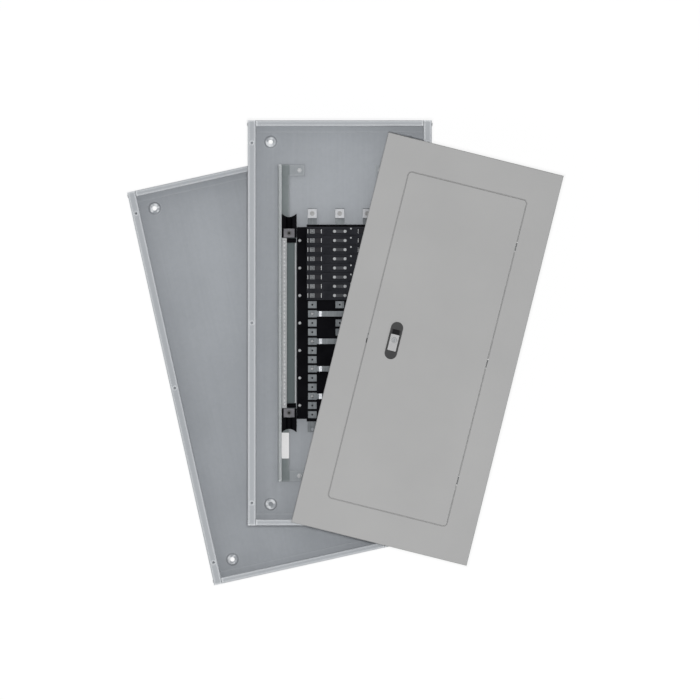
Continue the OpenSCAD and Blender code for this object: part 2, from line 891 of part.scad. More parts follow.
module connector_block() {
    difference() {
        translate([-block_half, -block_l / 2, 0]) cube([2 * block_half, block_l, block_h]);
        for (sx = [0, 1]) mirror([sx, 0, 0]) {
            translate([pocket_in, -pocket_w / 2, block_floor]) cube([pocket_l, pocket_w, block_h]);
            translate([link_half + notch_w, -block_l / 2 - cut, block_h - notch_d])
                cube([pocket_in - link_half - 2 * notch_w, notch_w + cut, notch_d + cut]);
        }
        translate([-link_pocket_half, -link_pocket_w / 2, block_floor])
            cube([2 * link_pocket_half, link_pocket_w, block_h]);
        translate([rivet_x, rivet_y, block_h / 2]) cylinder(d = rivet_hole_d, h = block_h);
    }
}

// A terminal clip: a strip with both ends turned up
module terminal_clip() {
    l = pocket_l - 2 * fit;
    along_y(clip_w) {
        square([l, clip_t]);
        square([clip_t, clip_h]);
        translate([l - clip_t, 0]) square([clip_t, clip_h]);
    }
}

module terminal_clips() {
    color(tinned) place_box() for (k = [0 : block_rows - 1], sx = [0, 1]) mirror([sx, 0, 0])
        translate([pocket_in + fit, row_y(k), block_z + block_floor]) terminal_clip();
}

// Clamping plates with their screws, one in each terminal clip
module connector_screws() {
    color(plated) place_box() for (k = [0 : block_rows - 1], sx = [-1, 1])
        translate([sx * bus_pitch, row_y(k), block_z + block_floor + clip_t]) {
            translate([-plate_w / 2, -clip_w / 2, 0]) cube([plate_w, clip_w, plate_t]);
            translate([0, 0, plate_t]) pan_screw(screw_head_d, screw_head_h, screw_shank_d, plate_t);
        }
}

module center_links() {
    color(tinned) place_box() for (k = [0 : block_rows - 1])
        translate([-link_half, row_y(k) - link_w / 2, block_z + block_floor])
            cube([2 * link_half, link_w, link_t]);
}

// Screws on the centre links, and a rivet in the edge of each block
module link_screws() {
    color(plated) place_box() for (k = [0 : block_rows - 1]) translate([0, row_y(k), block_z]) {
        for (sx = [-1, 1]) translate([sx * link_screw_x, 0, block_floor + link_t])
            cylinder(d = link_screw_d, h = strap_bolt_h);
        translate([rivet_x, rivet_y, block_h]) {
            cylinder(d = rivet_d, h = rivet_h);
            translate([0, 0, -rivet_d]) cylinder(d = rivet_d / 2, h = rivet_d + rivet_h);
        }
    }
}

// Lugs and neutral bars

// A lug block on z = 0, with its cable bore along Y and a set screw hole in its top
module lug(w, l, h, bore_d) {
    difference() {
        translate([-w / 2, -l / 2, 0]) cube([w, l, h]);
        translate([0, 0, bore_d / 2 + lug_wall]) rotate([90, 0, 0])
            cylinder(d = bore_d, h = l + 2 * cut, center = true);
        translate([0, 0, h / 2]) cylinder(d = lug_screw_d + 2 * pin_fit, h = h);
    }
}

module main_lug_places() {
    for (side = [-1, 0, 1]) translate([side * bus_pitch, lug_y, cover_z]) children();
}

module main_lugs() {
    color(tinned) place_box() main_lug_places() lug(lug_w, lug_w, lug_h, lug_bore_d);
}

module main_lug_screws() {
    color(plated) place_box() main_lug_places() translate([0, 0, lug_h - lug_screw_sink])
        set_screw(lug_screw_d, lug_screw_l);
}

module neutral_places() {
    for (i = [0 : neutral_screws - 1])
        translate([terminal_x, (i - (neutral_screws - 1) / 2) * neutral_pitch, terminal_z])
            children();
}

module neutral_bar() {
    difference() {
        translate([0, 0, neutral_z]) {
            along_y(neutral_l) translate([neutral_x - neutral_w, 0]) square([neutral_w, neutral_t]);
            along_y(flange_l) translate([neutral_x - neutral_w, 0]) square([neutral_t, flange_h]);
            along_y(terminal_l) translate([terminal_x - terminal_w / 2, 0])
                square([terminal_w, terminal_h]);
        }
        neutral_places() {
            translate([0, 0, -terminal_h / 2]) rotate([0, 90, 0])
                cylinder(d = wire_d, h = terminal_w + 2 * cut, center = true);
            translate([0, 0, -terminal_h / 2])
                cylinder(d = neutral_shank_d + 2 * pin_fit, h = terminal_h);
        }
    }
}

module right_neutral_bar() {
    color(tinned) place_box() neutral_bar();
}

module left_neutral_bar() {
    color(tinned) place_box() mirror([1, 0, 0]) neutral_bar();
}

module neutral_screw_row() {
    neutral_places() pan_screw(neutral_head_d, neutral_head_h, neutral_shank_d, terminal_h / 3);
}

module right_neutral_screws() {
    color(plated) place_box() neutral_screw_row();
}

module left_neutral_screws() {
    color(plated) place_box() mirror([1, 0, 0]) neutral_screw_row();
}

// Moulded support at one end of a neutral bar: a leg on the rail, a seat, a cheek on both sides
// of the lug, and a head with a saddled end and a channel for the cable into the lug
module neutral_support() {
    far = support_y + support_l;
    leg_in = rail_inner + support_gap;
    head_y = neutral_l / 2 + fit;
    head_w = support_out - support_in;
    cheek_l = head_y - neutral_lug_y + neutral_lug_l / 2;
    cheek_z = neutral_z + neutral_t + fit;
    inner_w = neutral_x - neutral_w + cheek_w - support_in;
    outer_w = support_out - neutral_x + cheek_w;
    difference() {
        union() {
            translate([leg_in, support_y, brace_z])
                cube([support_out - leg_in, support_l, neutral_lift]);
            translate([support_in, support_y, neutral_z - support_seat])
                cube([head_w, support_l, support_seat]);
            translate([support_in, head_y, neutral_z - support_seat])
                cube([head_w, far - head_y, support_seat + support_h]);
            translate([support_in, head_y - cheek_l, cheek_z])
                cube([inner_w, cheek_l + cut, support_h - neutral_t - fit]);
            translate([neutral_x - cheek_w, head_y - cheek_l, cheek_z])
                cube([outer_w, cheek_l + cut, support_h - neutral_t - fit]);
        }
        translate([support_in + head_w / 2, far + saddle_r - saddle_d, 0])
            cylinder(r = saddle_r, h = box_d);
        translate([neutral_lug_x, far, neutral_z + neutral_t + neutral_channel_d / 2])
            along_y(2 * support_l) cable_channel();
    }
}

module cable_channel() {
    circle(d = neutral_channel_d);
    translate([-neutral_channel_d / 2, 0]) square([neutral_channel_d, support_h]);
}

module neutral_supports() {
    color(black_moulding) place_box() at_quarters() neutral_support();
}

module neutral_lug_places() {
    at_corners(neutral_lug_x, neutral_lug_y) translate([0, 0, neutral_z + neutral_t]) children();
}

module neutral_lugs() {
    color(tinned) place_box() neutral_lug_places()
        lug(neutral_lug_w, neutral_lug_l, neutral_lug_h, neutral_bore_d);
}

module neutral_lug_screws() {
    color(plated) place_box() neutral_lug_places() translate([0, 0, neutral_lug_h - lug_screw_sink])
        set_screw(lug_screw_d, neutral_screw_l);
}

// Trim

// A block with its upper edges rounded, standing on z = 0
module pan_block(w, h, d, r) {
    intersection() {
        along_y(h) pan_profile(w, d, r);
        along_x(w) pan_profile(h, d, r);
    }
}

module pan_profile(w, d, r) {
    translate([-w / 2, 0]) square([w, d - r]);
    translate([r - w / 2, 0]) square([w - 2 * r, d]);
    for (s = [-1, 1]) translate([s * (w / 2 - r), d - r]) half_round(r);
}

module half_round(r) {
    intersection() {
        circle(r);
        translate([-r, 0]) square([2 * r, r]);
    }
}

// A round block with its upper edge rounded, standing on z = 0, or a part turn of one
module pan_disc(radius, d, r, turn = 360) {
    rotate_extrude(angle = turn) {
        square([radius, d - r]);
        square([radius - r, d]);
        translate([radius - r, d - r]) half_round(r);
    }
}

// The sheet face of the trim: rounded outer edges and the door opening
module trim_frame() {
    color(grey_paint) place_trim() translate([0, 0, trim_d - trim_edge]) difference() {
        pan_block(trim_w, trim_h, trim_edge, trim_r);
        translate([0, 0, -cut])
            pan_block(trim_w - 2 * trim_t, trim_h - 2 * trim_t, trim_edge - trim_t + cut, trim_r - trim_t);
        linear_extrude(trim_edge + cut) rounded_rect(open_w, open_h, opening_r);
    }
}

// Returns down from the outer bends, one to each side of the trim
module trim_returns() {
    drop = trim_d - trim_edge;
    color(grey_paint) place_trim() translate([0, 0, drop / 2]) for (s = [-1, 1]) {
        translate([s * (trim_w - trim_t) / 2, 0, 0]) cube([trim_t, trim_h, drop], center = true);
        translate([0, s * (trim_h - trim_t) / 2, 0])
            cube([trim_w - 2 * trim_t, trim_t, drop], center = true);
    }
}

// Lip round the door opening, open at the corners and cut back at the hinges
module opening_lip() {
    side_l = open_h - 2 * opening_r;
    end_l = open_w - 2 * opening_r;
    color(grey_paint) place_trim() translate([0, 0, lip_z]) linear_extrude(face_z - lip_z) {
        for (s = [-1, 1]) translate([0, s * (open_h + trim_t) / 2])
            square([end_l, trim_t], center = true);
        difference() {
            for (s = [-1, 1]) translate([s * (open_w + trim_t) / 2, 0])
                square([trim_t, side_l], center = true);
            for (y = hinge_ys) translate([(open_w + trim_t) / 2, y])
                square([trim_t + 2 * cut, lip_notch], center = true);
        }
    }
}

// Stops under the lip, which reach in behind the door and leave room for its hinges and latch
module door_stops() {
    width = stop_reach + trim_t;
    side_l = open_h - 2 * stop_reach;
    notch_low = bolt_y - bolt_w / 2 - stop_clear;
    notch_high = keeper_y + keeper_w + stop_clear;
    mid = (trim_t - stop_reach) / 2;
    color(grey_paint) place_trim() translate([0, 0, lip_z - trim_t]) linear_extrude(trim_t) {
        for (s = [-1, 1]) translate([0, s * (open_h / 2 + mid)])
            square([open_w + 2 * trim_t, width], center = true);
        difference() {
            for (s = [-1, 1]) translate([s * (open_w / 2 + mid), 0])
                square([width, side_l], center = true);
            for (y = hinge_ys) translate([open_w / 2 + mid, y])
                square([width + 2 * cut, arm_l + 2 * stop_clear], center = true);
            translate([-open_w / 2 - mid, (notch_low + notch_high) / 2])
                square([width + 2 * cut, notch_high - notch_low], center = true);
        }
    }
}

// Spring hooks behind the trim, which catch under the lips of a box's side flanges
module trim_hook() {
    low = -hook_drop - hook_t;
    along_y(hook_w) {
        translate([hook_x - hook_foot, face_z - hook_t]) square([hook_foot + hook_t, hook_t]);
        translate([hook_x, low]) square([hook_t, face_z - low]);
        translate([hook_x, low]) square([hook_t + hook_lug, hook_t]);
    }
}

module trim_hooks() {
    color(plated) place_trim() for (sx = [0, 1], y = [-trim_hole_y, 0, trim_hole_y])
        mirror([sx, 0, 0]) translate([0, y, 0]) trim_hook();
}

// Hinges

module knuckle_section() {
    difference() {
        circle(d = knuckle_d);
        circle(d = pin_d + 2 * pin_fit);
    }
}

// Frame leaf of a hinge: a plate under the trim face and a knuckle at each end
module hinge_frame_leaf() {
    translate([leaf_clear, -hinge_l / 2, hinge_drop - leaf_t]) cube([leaf_w, hinge_l, leaf_t]);
    for (s = [-1, 1]) translate([0, s * (hinge_l - knuckle_l) / 2, 0]) along_y(knuckle_l) {
        knuckle_section();
        difference() {
            translate([0, hinge_drop - leaf_t]) square([leaf_clear + leaf_t, leaf_t]);
            circle(d = pin_d + 2 * pin_fit);
        }
        difference() {
            square([knuckle_d / 2, hinge_drop]);
            circle(d = pin_d + 2 * pin_fit);
        }
    }
}

// Door side of a hinge: a gooseneck that dips under the frame lip and comes up behind the door
module hinge_door_arm() {
    half = arm_t / 2;
    along_y(arm_l) {
        knuckle_section();
        difference() {
            translate([-half, -arm_drop - half]) square([arm_t, arm_drop + half]);
            circle(d = pin_d + 2 * pin_fit);
        }
        translate([-arm_run - half, -arm_drop - half]) square([arm_run + arm_t, arm_t]);
        translate([-arm_run - half, -arm_drop - half]) square([arm_t, arm_drop + half + hinge_drop]);
        translate([-arm_run - half - arm_leaf, hinge_drop - arm_t]) square([arm_leaf + arm_t, arm_t]);
    }
}

module hinge_places() {
    for (y = hinge_ys) translate([pin_line_x, y, pin_line_z]) children();
}

module hinge_frame_leaves() {
    color(plated) place_trim() hinge_places() hinge_frame_leaf();
}

module hinge_pins() {
    color(plated) place_trim() hinge_places() rotate([90, 0, 0])
        cylinder(d = pin_d, h = hinge_l, center = true);
}

module hinge_door_arms() {
    color(plated) place_trim() hinge_places() hinge_door_arm();
}

// Keeper of the latch: an angle behind the frame lip with a tab that reaches under the door's edge
module latch_keeper() {
    back = -open_w / 2 - trim_t - keeper_t;
    color(plated) place_trim() translate([back, keeper_y, keeper_z]) {
        cube([keeper_t, keeper_w, face_z - keeper_z]);
        cube([keeper_t + trim_t + keeper_reach, keeper_w, keeper_t]);
    }
}

// Door

// Face of the door and the bends round it, with the hole for the latch
module door_panel() {
    color(grey_paint) place_trim() translate([0, 0, trim_d - door_edge]) difference() {
        door_block();
        translate([0, 0, -cut]) linear_extrude(door_edge - trim_t + cut)
            rounded_rect(door_w - 2 * trim_t, door_h - 2 * trim_t, door_r - trim_t);
        translate([latch_x, 0, -cut]) linear_extrude(door_edge + 2 * cut)
            stadium(cup_l + 2 * cup_fit, cup_w + 2 * cup_fit);
    }
}

// The door's outside: round corners, and bends round its face
module door_block() {
    along_y(door_h - 2 * door_r) pan_profile(door_w, door_edge, door_bend);
    along_x(door_w - 2 * door_r) pan_profile(door_h, door_edge, door_bend);
    at_corners(door_w / 2 - door_r, door_h / 2 - door_r) pan_disc(door_r, door_edge, door_bend);
}

// Returns down from the bends, one to each side of the door, open at the corners
module door_returns() {
    drop = return_d + trim_t - door_edge;
    side_l = door_h - 2 * door_r;
    end_l = door_w - 2 * door_r;
    color(grey_paint) place_trim() translate([0, 0, face_z - return_d + drop / 2]) {
        for (s = [-1, 1]) translate([s * (door_w - trim_t) / 2, 0, 0])
            cube([trim_t, side_l, drop], center = true);
        for (s = [-1, 1]) translate([0, s * (door_h - trim_t) / 2, 0])
            cube([end_l, trim_t, drop], center = true);
    }
}

// Frame of the directory card on the back of the door, open to the card in the middle
module directory_holder() {
    color(grey_paint) place_trim() translate([holder_x, holder_y, face_z - holder_t]) difference() {
        linear_extrude(holder_t) rounded_rect(holder_w, holder_h, holder_wall);
        translate([0, 0, holder_t - 2 * card_t]) linear_extrude(holder_t)
            square([card_w, card_h], center = true);
        translate([0, 0, -cut]) linear_extrude(holder_t + 2 * cut)
            square([holder_w - 2 * holder_rim, holder_h - 2 * holder_rim], center = true);
    }
}

module directory_card() {
    w = card_w - 2 * fit;
    h = card_h - 2 * fit;
    color(paper_white) place_trim()
        translate([holder_x - w / 2, holder_y - h / 2, face_z - 1.5 * card_t]) cube([w, h, card_t]);
}

// Latch

// Oval housing: a domed rim on the door and a cup below it, with a track for the slide,
// a well under the slide and a slot in its floor for the bolt's stem
module latch_housing() {
    color(grey_moulding) place_trim() translate([latch_x, 0, 0]) difference() {
        union() {
            translate([0, 0, trim_d]) oval_rim();
            translate([0, 0, cup_floor_z]) linear_extrude(trim_d - cup_floor_z + cut)
                stadium(cup_l, cup_w);
        }
        translate([-slide_w / 2 - slide_fit, slot_bottom, slide_rest_z - slide_fit])
            cube([slide_w + 2 * slide_fit, slot_l, trim_d]);
        translate([-well_w / 2, slot_bottom, cup_floor_z + cup_wall]) cube([well_w, slot_l, trim_d]);
        translate([-stem_w / 2 - slide_fit, bolt_y - bolt_w / 2 - slide_fit, cup_floor_z - cut])
            cube([stem_w + 2 * slide_fit, bolt_w + slide_travel + 2 * slide_fit, trim_d]);
    }
}

// The housing's rim: a flat oval with a rounded edge
module oval_rim() {
    straight = latch_l - latch_w;
    along_y(straight) pan_profile(latch_w, latch_rim, rim_r);
    for (turn = [0, 180]) rotate([0, 0, turn]) translate([0, straight / 2, 0])
        pan_disc(latch_w / 2, latch_rim, rim_r, 180);
}

// Sheet clip that holds the housing from behind the door
module latch_clip() {
    color(plated) place_trim() translate([latch_x, 0, face_z - clip_sheet])
        linear_extrude(clip_sheet) difference() {
            rounded_rect(cup_w + 2 * clip_rim, cup_l + 2 * clip_rim, clip_rim);
            stadium(cup_l + 2 * fit, cup_w + 2 * fit);
        }
}

// Slide plate, with the bore of the lock plug and a finger edge along its top
module latch_slide() {
    color(plated) place_trim() translate([latch_x, 0, slide_rest_z]) difference() {
        translate([0, slide_y, 0]) linear_extrude(slide_t) rounded_rect(slide_w, slide_l, slide_r);
        translate([0, plug_y, -cut]) cylinder(d = plug_d + 2 * pin_fit, h = slide_t + 2 * cut);
    }
}

// Bolt: a stem under the slide plate and a flat arm that runs out to the keeper
module latch_bolt() {
    tip = bolt_tip_gap - door_w / 2;
    color(plated) place_trim() {
        translate([latch_x - stem_w / 2, bolt_y - bolt_w / 2, bolt_z])
            cube([stem_w, bolt_w, slide_rest_z - bolt_z]);
        translate([tip, bolt_y - bolt_w / 2, bolt_z]) cube([latch_x - tip, bolt_w, bolt_t]);
    }
}

module lock_plug() {
    keyway_l = 2 * plug_d / 3;
    color(plated) place_trim() translate([latch_x, plug_y, plug_z]) difference() {
        cylinder(d = plug_d, h = plug_h);
        translate([-keyway_w / 2, -keyway_l / 2, plug_h / 2]) cube([keyway_w, keyway_l, plug_h]);
    }
}

// Cam under the lock plug
module lock_cam() {
    color(plated) place_trim() translate([latch_x, plug_y, plug_z - cam_t]) linear_extrude(cam_t) {
        circle(d = plug_d / 2);
        translate([-plug_d / 4, 0]) square([plug_d / 2, cam_l]);
    }
}

empty_box_shell();
empty_box_top_wall();
empty_box_bottom_wall();
empty_box_wall_screws();
box_shell();
box_top_wall();
box_bottom_wall();
box_wall_screws();
interior_studs();
interior_nuts();
left_rail();
right_rail();
cross_braces();
brace_screws();
bus_base();
base_screws();
left_bus_bar();
center_bus_bar();
right_bus_bar();
bus_cover();
cross_straps();
strap_bolts();
connector_blocks();
terminal_clips();
center_links();
connector_screws();
link_screws();
main_lugs();
main_lug_screws();
left_neutral_bar();
right_neutral_bar();
left_neutral_screws();
right_neutral_screws();
neutral_supports();
neutral_lugs();
neutral_lug_screws();
trim_frame();
trim_returns();
opening_lip();
door_stops();
trim_hooks();
hinge_frame_leaves();
hinge_pins();
latch_keeper();
door_panel();
door_returns();
hinge_door_arms();
latch_housing();
latch_clip();
directory_holder();
directory_card();
latch_slide();
latch_bolt();
lock_plug();
lock_cam();
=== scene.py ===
"""Looks of a fanned panelboard set: an empty back box, a fitted back box and a trim front.

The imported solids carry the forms. This script gives each of them a procedural finish, adds the
small pieces that are modelled by hand (threaded studs, connector ribs, terminal washers, barriers
beside the neutral lugs, the blank rail label, the ring round the lock plug), and sets up the
studio and the photograph's camera.
"""

import logging
import math
from collections.abc import Callable
from dataclasses import dataclass
from enum import Enum
from functools import cached_property, partial, reduce

import bmesh
import bpy
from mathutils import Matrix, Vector


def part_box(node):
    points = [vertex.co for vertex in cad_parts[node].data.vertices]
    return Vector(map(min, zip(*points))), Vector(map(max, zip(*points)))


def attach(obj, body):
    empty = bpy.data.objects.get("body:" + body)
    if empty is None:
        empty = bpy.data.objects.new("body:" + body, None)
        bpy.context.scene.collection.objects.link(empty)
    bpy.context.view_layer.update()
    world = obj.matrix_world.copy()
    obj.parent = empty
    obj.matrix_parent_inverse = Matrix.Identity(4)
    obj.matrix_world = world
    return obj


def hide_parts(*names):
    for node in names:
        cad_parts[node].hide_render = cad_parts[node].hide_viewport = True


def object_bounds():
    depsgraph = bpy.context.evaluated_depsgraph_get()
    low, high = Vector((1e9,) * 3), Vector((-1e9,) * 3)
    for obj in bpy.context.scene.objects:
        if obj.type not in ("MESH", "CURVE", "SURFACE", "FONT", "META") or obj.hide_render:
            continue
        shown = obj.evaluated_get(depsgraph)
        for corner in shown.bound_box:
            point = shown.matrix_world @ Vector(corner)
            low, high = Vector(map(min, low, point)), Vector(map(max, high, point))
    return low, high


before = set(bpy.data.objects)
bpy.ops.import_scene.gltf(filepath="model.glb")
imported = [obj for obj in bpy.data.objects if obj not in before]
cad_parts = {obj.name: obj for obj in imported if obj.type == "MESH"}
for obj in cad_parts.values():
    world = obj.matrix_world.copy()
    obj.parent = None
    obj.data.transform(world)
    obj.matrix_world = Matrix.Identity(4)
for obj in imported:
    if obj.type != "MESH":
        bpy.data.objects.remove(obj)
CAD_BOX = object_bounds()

log = logging.getLogger("panelboard")

Colour = tuple[float, float, float]
Point = tuple[float, float, float]
Span = tuple[float, float]
Node = bpy.types.Node
NodeTree = bpy.types.NodeTree
Piece = bpy.types.Object
Socket = bpy.types.NodeSocket
Feed = Node | Socket | Colour | float
Inputs = dict[str | int, Feed]
Element = bmesh.types.BMVert | bmesh.types.BMEdge | bmesh.types.BMFace
Test = Callable[[Vector, Element], bool]

UNIT: Span = (0.0, 1.0)
WHITE: Colour = (1.0, 1.0, 1.0)
TOUCH = 1e-5  # metres within which two levels are the same
FACES_UP = 0.99  # least upward part of a level face's normal


class Body(Enum):
    """Moving bodies that new pieces ride on."""

    FITTED_BOX = "fitted_box"
    LATCH = "latch"


class Slot(Enum):
    """The record's material slots, passed along with each new piece."""

    PLATED = "plated_steel"
    BLACK_MOULDING = "black_moulding"
    CARD = "card"
    BRIGHT = "bright_metal"


class SocketKind(Enum):
    """Kinds of socket that the shader groups use."""

    VALUE = "NodeSocketFloat"
    NORMAL = "NodeSocketVector"


class Part(Enum):
    """What a selection in edit mode picks: its place in a mesh, and Blender's name for it."""

    VERTS = ("verts", "VERT")
    EDGES = ("edges", "EDGE")
    FACES = ("faces", "FACE")


class NodeSketch:
    """Places nodes in one node tree and joins their sockets."""

    RANGE_INPUTS = ("Value", "From Min", "From Max", "To Min", "To Max")
    MIX_OPTIONS = {"data_type": "RGBA", "clamp_factor": True}
    MIX_INPUTS = (0, 6, 7)
    MIX_RESULT = 2

    def __init__(self, tree: NodeTree) -> None:
        """Takes the tree of a material, a world or a group, and empties it."""
        tree.nodes.clear()
        self.tree = tree

    def node(self, kind: str, inputs: Inputs | None = None, **options: object) -> Node:
        """Adds a node, sets its options, and joins its inputs to sockets or gives them values.

        Args:
            kind: Blender's name for the node type.
            inputs: What its inputs take, by name or number. A node gives its first output.
            options: Values for the node's own settings.

        Returns:
            The new node.
        """
        made = self.tree.nodes.new(kind)
        for option, value in options.items():
            setattr(made, option, value)
        for name, source in (inputs or {}).items():
            target = made.inputs[name]
            if isinstance(source, Node):
                source = source.outputs[0]
            if isinstance(source, Socket):
                self.tree.links.new(source, target)
            else:
                target.default_value = (*source, 1.0) if isinstance(source, tuple) else source
        return made

    def group(self, tree: NodeTree, **values: float) -> Node:
        """Places a shader group with its own values for the inputs that are named."""
        return self.node("ShaderNodeGroup", values, node_tree=tree)

    def arithmetic(self, operation: str, first: Feed, second: Feed = 0.0) -> Socket:
        """Returns the result of a math node on one or two values."""
        return self.node("ShaderNodeMath", {0: first, 1: second}, operation=operation).outputs[0]

    def product(self, *values: Feed) -> Socket:
        """Returns the product of values."""
        return reduce(partial(self.arithmetic, "MULTIPLY"), values)

    def total(self, *values: Feed) -> Socket:
        """Returns the sum of values."""
        return reduce(partial(self.arithmetic, "ADD"), values)

    def vectors(self, operation: str, first: Feed, second: Feed) -> Node:
        """Places a math node on two vectors."""
        return self.node("ShaderNodeVectorMath", {0: first, 1: second}, operation=operation)

    def spread(self, value: Feed, span: Span, onto: Span = UNIT) -> Socket:
        """Returns a value of which one span is mapped onto another, and clamped to that."""
        inputs = dict(zip(self.RANGE_INPUTS, (value, *span, *onto)))
        return self.node("ShaderNodeMapRange", inputs).outputs["Result"]

    def blend(self, share: Feed, first: Colour | Socket, second: Colour | Socket) -> Socket:
        """Returns a mix of two colours with the given share, 0 to 1, of the second."""
        inputs = dict(zip(self.MIX_INPUTS, (share, first, second)))
        return self.node("ShaderNodeMix", inputs, **self.MIX_OPTIONS).outputs[self.MIX_RESULT]

    def object_place(self) -> Socket:
        """Returns the place on the piece, in its own coordinates."""
        return self.node("ShaderNodeTexCoord").outputs["Object"]

    def turned_place(self, angle: Feed) -> Socket:
        """Returns the place on the piece, turned about the upright axis."""
        inputs = {"Vector": self.object_place(), "Angle": angle}
        return self.node("ShaderNodeVectorRotate", inputs, rotation_type="Z_AXIS").outputs["Vector"]

    def part(self, vector: Socket, axis: str) -> Socket:
        """Returns one component of a vector."""
        return self.node("ShaderNodeSeparateXYZ", {"Vector": vector}).outputs[axis]

    def rise(self, low: float, high: float) -> Socket:
        """Returns 0 at one height on the object, 1 at another, and a clamped ramp between them."""
        return self.spread(self.part(self.object_place(), "Z"), (low, high))

    def upward(self, low: float, high: float) -> Socket:
        """Returns such a ramp over how far up a face looks: 0 sideways, 1 straight up."""
        normal = self.node("ShaderNodeNewGeometry").outputs["True Normal"]
        return self.spread(self.part(normal, "Z"), (low, high))

    def noise(self, place: Feed, scale: Feed, detail: float, roughness: float = 0.5) -> Socket:
        """Returns a noise pattern, about 0.5 on average, with so many cells a metre."""
        inputs = {"Vector": place, "Scale": scale, "Detail": detail, "Roughness": roughness}
        return self.node("ShaderNodeTexNoise", inputs).outputs["Fac"]


class GroupSketch(NodeSketch):
    """Draws a shader group from its inputs to its outputs."""

    def __init__(self, name: str, inputs: dict[str, float], **outputs: SocketKind) -> None:
        """Starts the group with its sockets.

        Args:
            name: The group's name.
            inputs: Its inputs and their usual values.
            outputs: Its outputs and their kinds.
        """
        super().__init__(bpy.data.node_groups.new(name, "ShaderNodeTree"))
        add = self.tree.interface.new_socket
        for socket, usual in inputs.items():
            add(socket, in_out="INPUT", socket_type=SocketKind.VALUE.value).default_value = usual
        for socket, kind in outputs.items():
            add(socket, in_out="OUTPUT", socket_type=kind.value)
        self.given = self.node("NodeGroupInput").outputs

    def closed(self, **results: Feed) -> NodeTree:
        """Feeds the group's outputs and returns the finished group."""
        self.node("NodeGroupOutput", results)
        return self.tree


class EffectShelf:
    """Shader groups that several finishes share, each built on its first use."""

    BEVEL_SAMPLES = 6
    EDGE_SPAN: Span = (0.01, 0.2)
    CONTRAST: Span = (0.3, 0.7)
    FINER = 3.1
    FINER_SHARE = 0.4
    WARP_SCALE = 70.0
    WARP = 0.006

    @cached_property
    def rounded_edges(self) -> NodeTree:
        """Draws broken edges: one normal is rounded, and one over the worn band gives a mask.

        Returns:
            The group, which gives the normal and the mask of where edges are.
        """
        sketch = GroupSketch(
            "rounded_edges", {"Radius": 0.0006, "Band": 0.0006},
            Normal=SocketKind.NORMAL, Edge=SocketKind.VALUE,
        )
        narrow, broad = (
            sketch.node("ShaderNodeBevel", {"Radius": radius}, samples=self.BEVEL_SAMPLES)
            for radius in (sketch.given["Radius"], sketch.given["Band"])
        )
        flat = sketch.node("ShaderNodeNewGeometry").outputs["Normal"]
        along = sketch.vectors("DOT_PRODUCT", broad, flat)
        turned = sketch.arithmetic("SUBTRACT", 1.0, along.outputs["Value"])
        edge = sketch.spread(turned, self.EDGE_SPAN)
        return sketch.closed(Normal=narrow, Edge=edge)

    @cached_property
    def cloud_mottle(self) -> NodeTree:
        """Draws slow, cloudy changes of tone.

        Returns:
            The group.
        """
        sketch = GroupSketch("cloud_mottle", {"Scale": 4.0}, Mottle=SocketKind.VALUE)
        place = sketch.object_place()
        clouds = sketch.noise(place, sketch.given["Scale"], detail=3.0, roughness=0.55)
        return sketch.closed(Mottle=sketch.spread(clouds, self.CONTRAST))

    @cached_property
    def rolling_streaks(self) -> NodeTree:
        """Draws the streaks that rolling, drawing or brushing leaves in metal.

        Returns:
            The group.
        """
        inputs = {"Turn": 0.0, "Across": 300.0, "Along": 6.0}
        sketch = GroupSketch("rolling_streaks", inputs, Streak=SocketKind.VALUE)
        across, along = sketch.given["Across"], sketch.given["Along"]
        place = sketch.turned_place(sketch.product(sketch.given["Turn"], -1.0))
        scale = sketch.node("ShaderNodeCombineXYZ", {"X": across, "Y": along, "Z": across})
        drawn = sketch.vectors("MULTIPLY", place, scale)
        lines = sketch.noise(drawn, 1.0, detail=4.0, roughness=0.6)
        return sketch.closed(Streak=sketch.spread(lines, self.CONTRAST))

    @cached_property
    def fine_grain(self) -> NodeTree:
        """Draws the grain of a moulding or a powder coat: a finer noise on a coarser one.

        Returns:
            The group, which gives a height.
        """
        sketch = GroupSketch("fine_grain", {"Scale": 900.0}, Height=SocketKind.VALUE)
        place = sketch.object_place()
        coarse = sketch.noise(place, sketch.given["Scale"], detail=1.0)
        finer = sketch.noise(place, sketch.product(sketch.given["Scale"], self.FINER), detail=2.0)
        return sketch.closed(Height=sketch.total(coarse, sketch.product(finer, self.FINER_SHARE)))

    @cached_property
    def zinc_spangle(self) -> NodeTree:
        """Draws the faint crystals of a zinc coat: a tone for each cell of a warped pattern.

        Returns:
            The group.
        """
        sketch = GroupSketch("zinc_spangle", {"Scale": 110.0}, Spangle=SocketKind.VALUE)
        place = sketch.object_place()
        shaken = sketch.node("ShaderNodeTexNoise", {"Vector": place, "Scale": self.WARP_SCALE})
        inputs = {0: shaken.outputs["Color"], "Scale": self.WARP}
        small = sketch.node("ShaderNodeVectorMath", inputs, operation="SCALE")
        warped = sketch.vectors("ADD", place, small)
        inputs = {"Vector": warped, "Scale": sketch.given["Scale"]}
        cells = sketch.node("ShaderNodeTexVoronoi", inputs)
        tone = sketch.node("ShaderNodeSeparateColor", {"Color": cells.outputs["Color"]})
        return sketch.closed(Spangle=tone)


EFFECTS = EffectShelf()


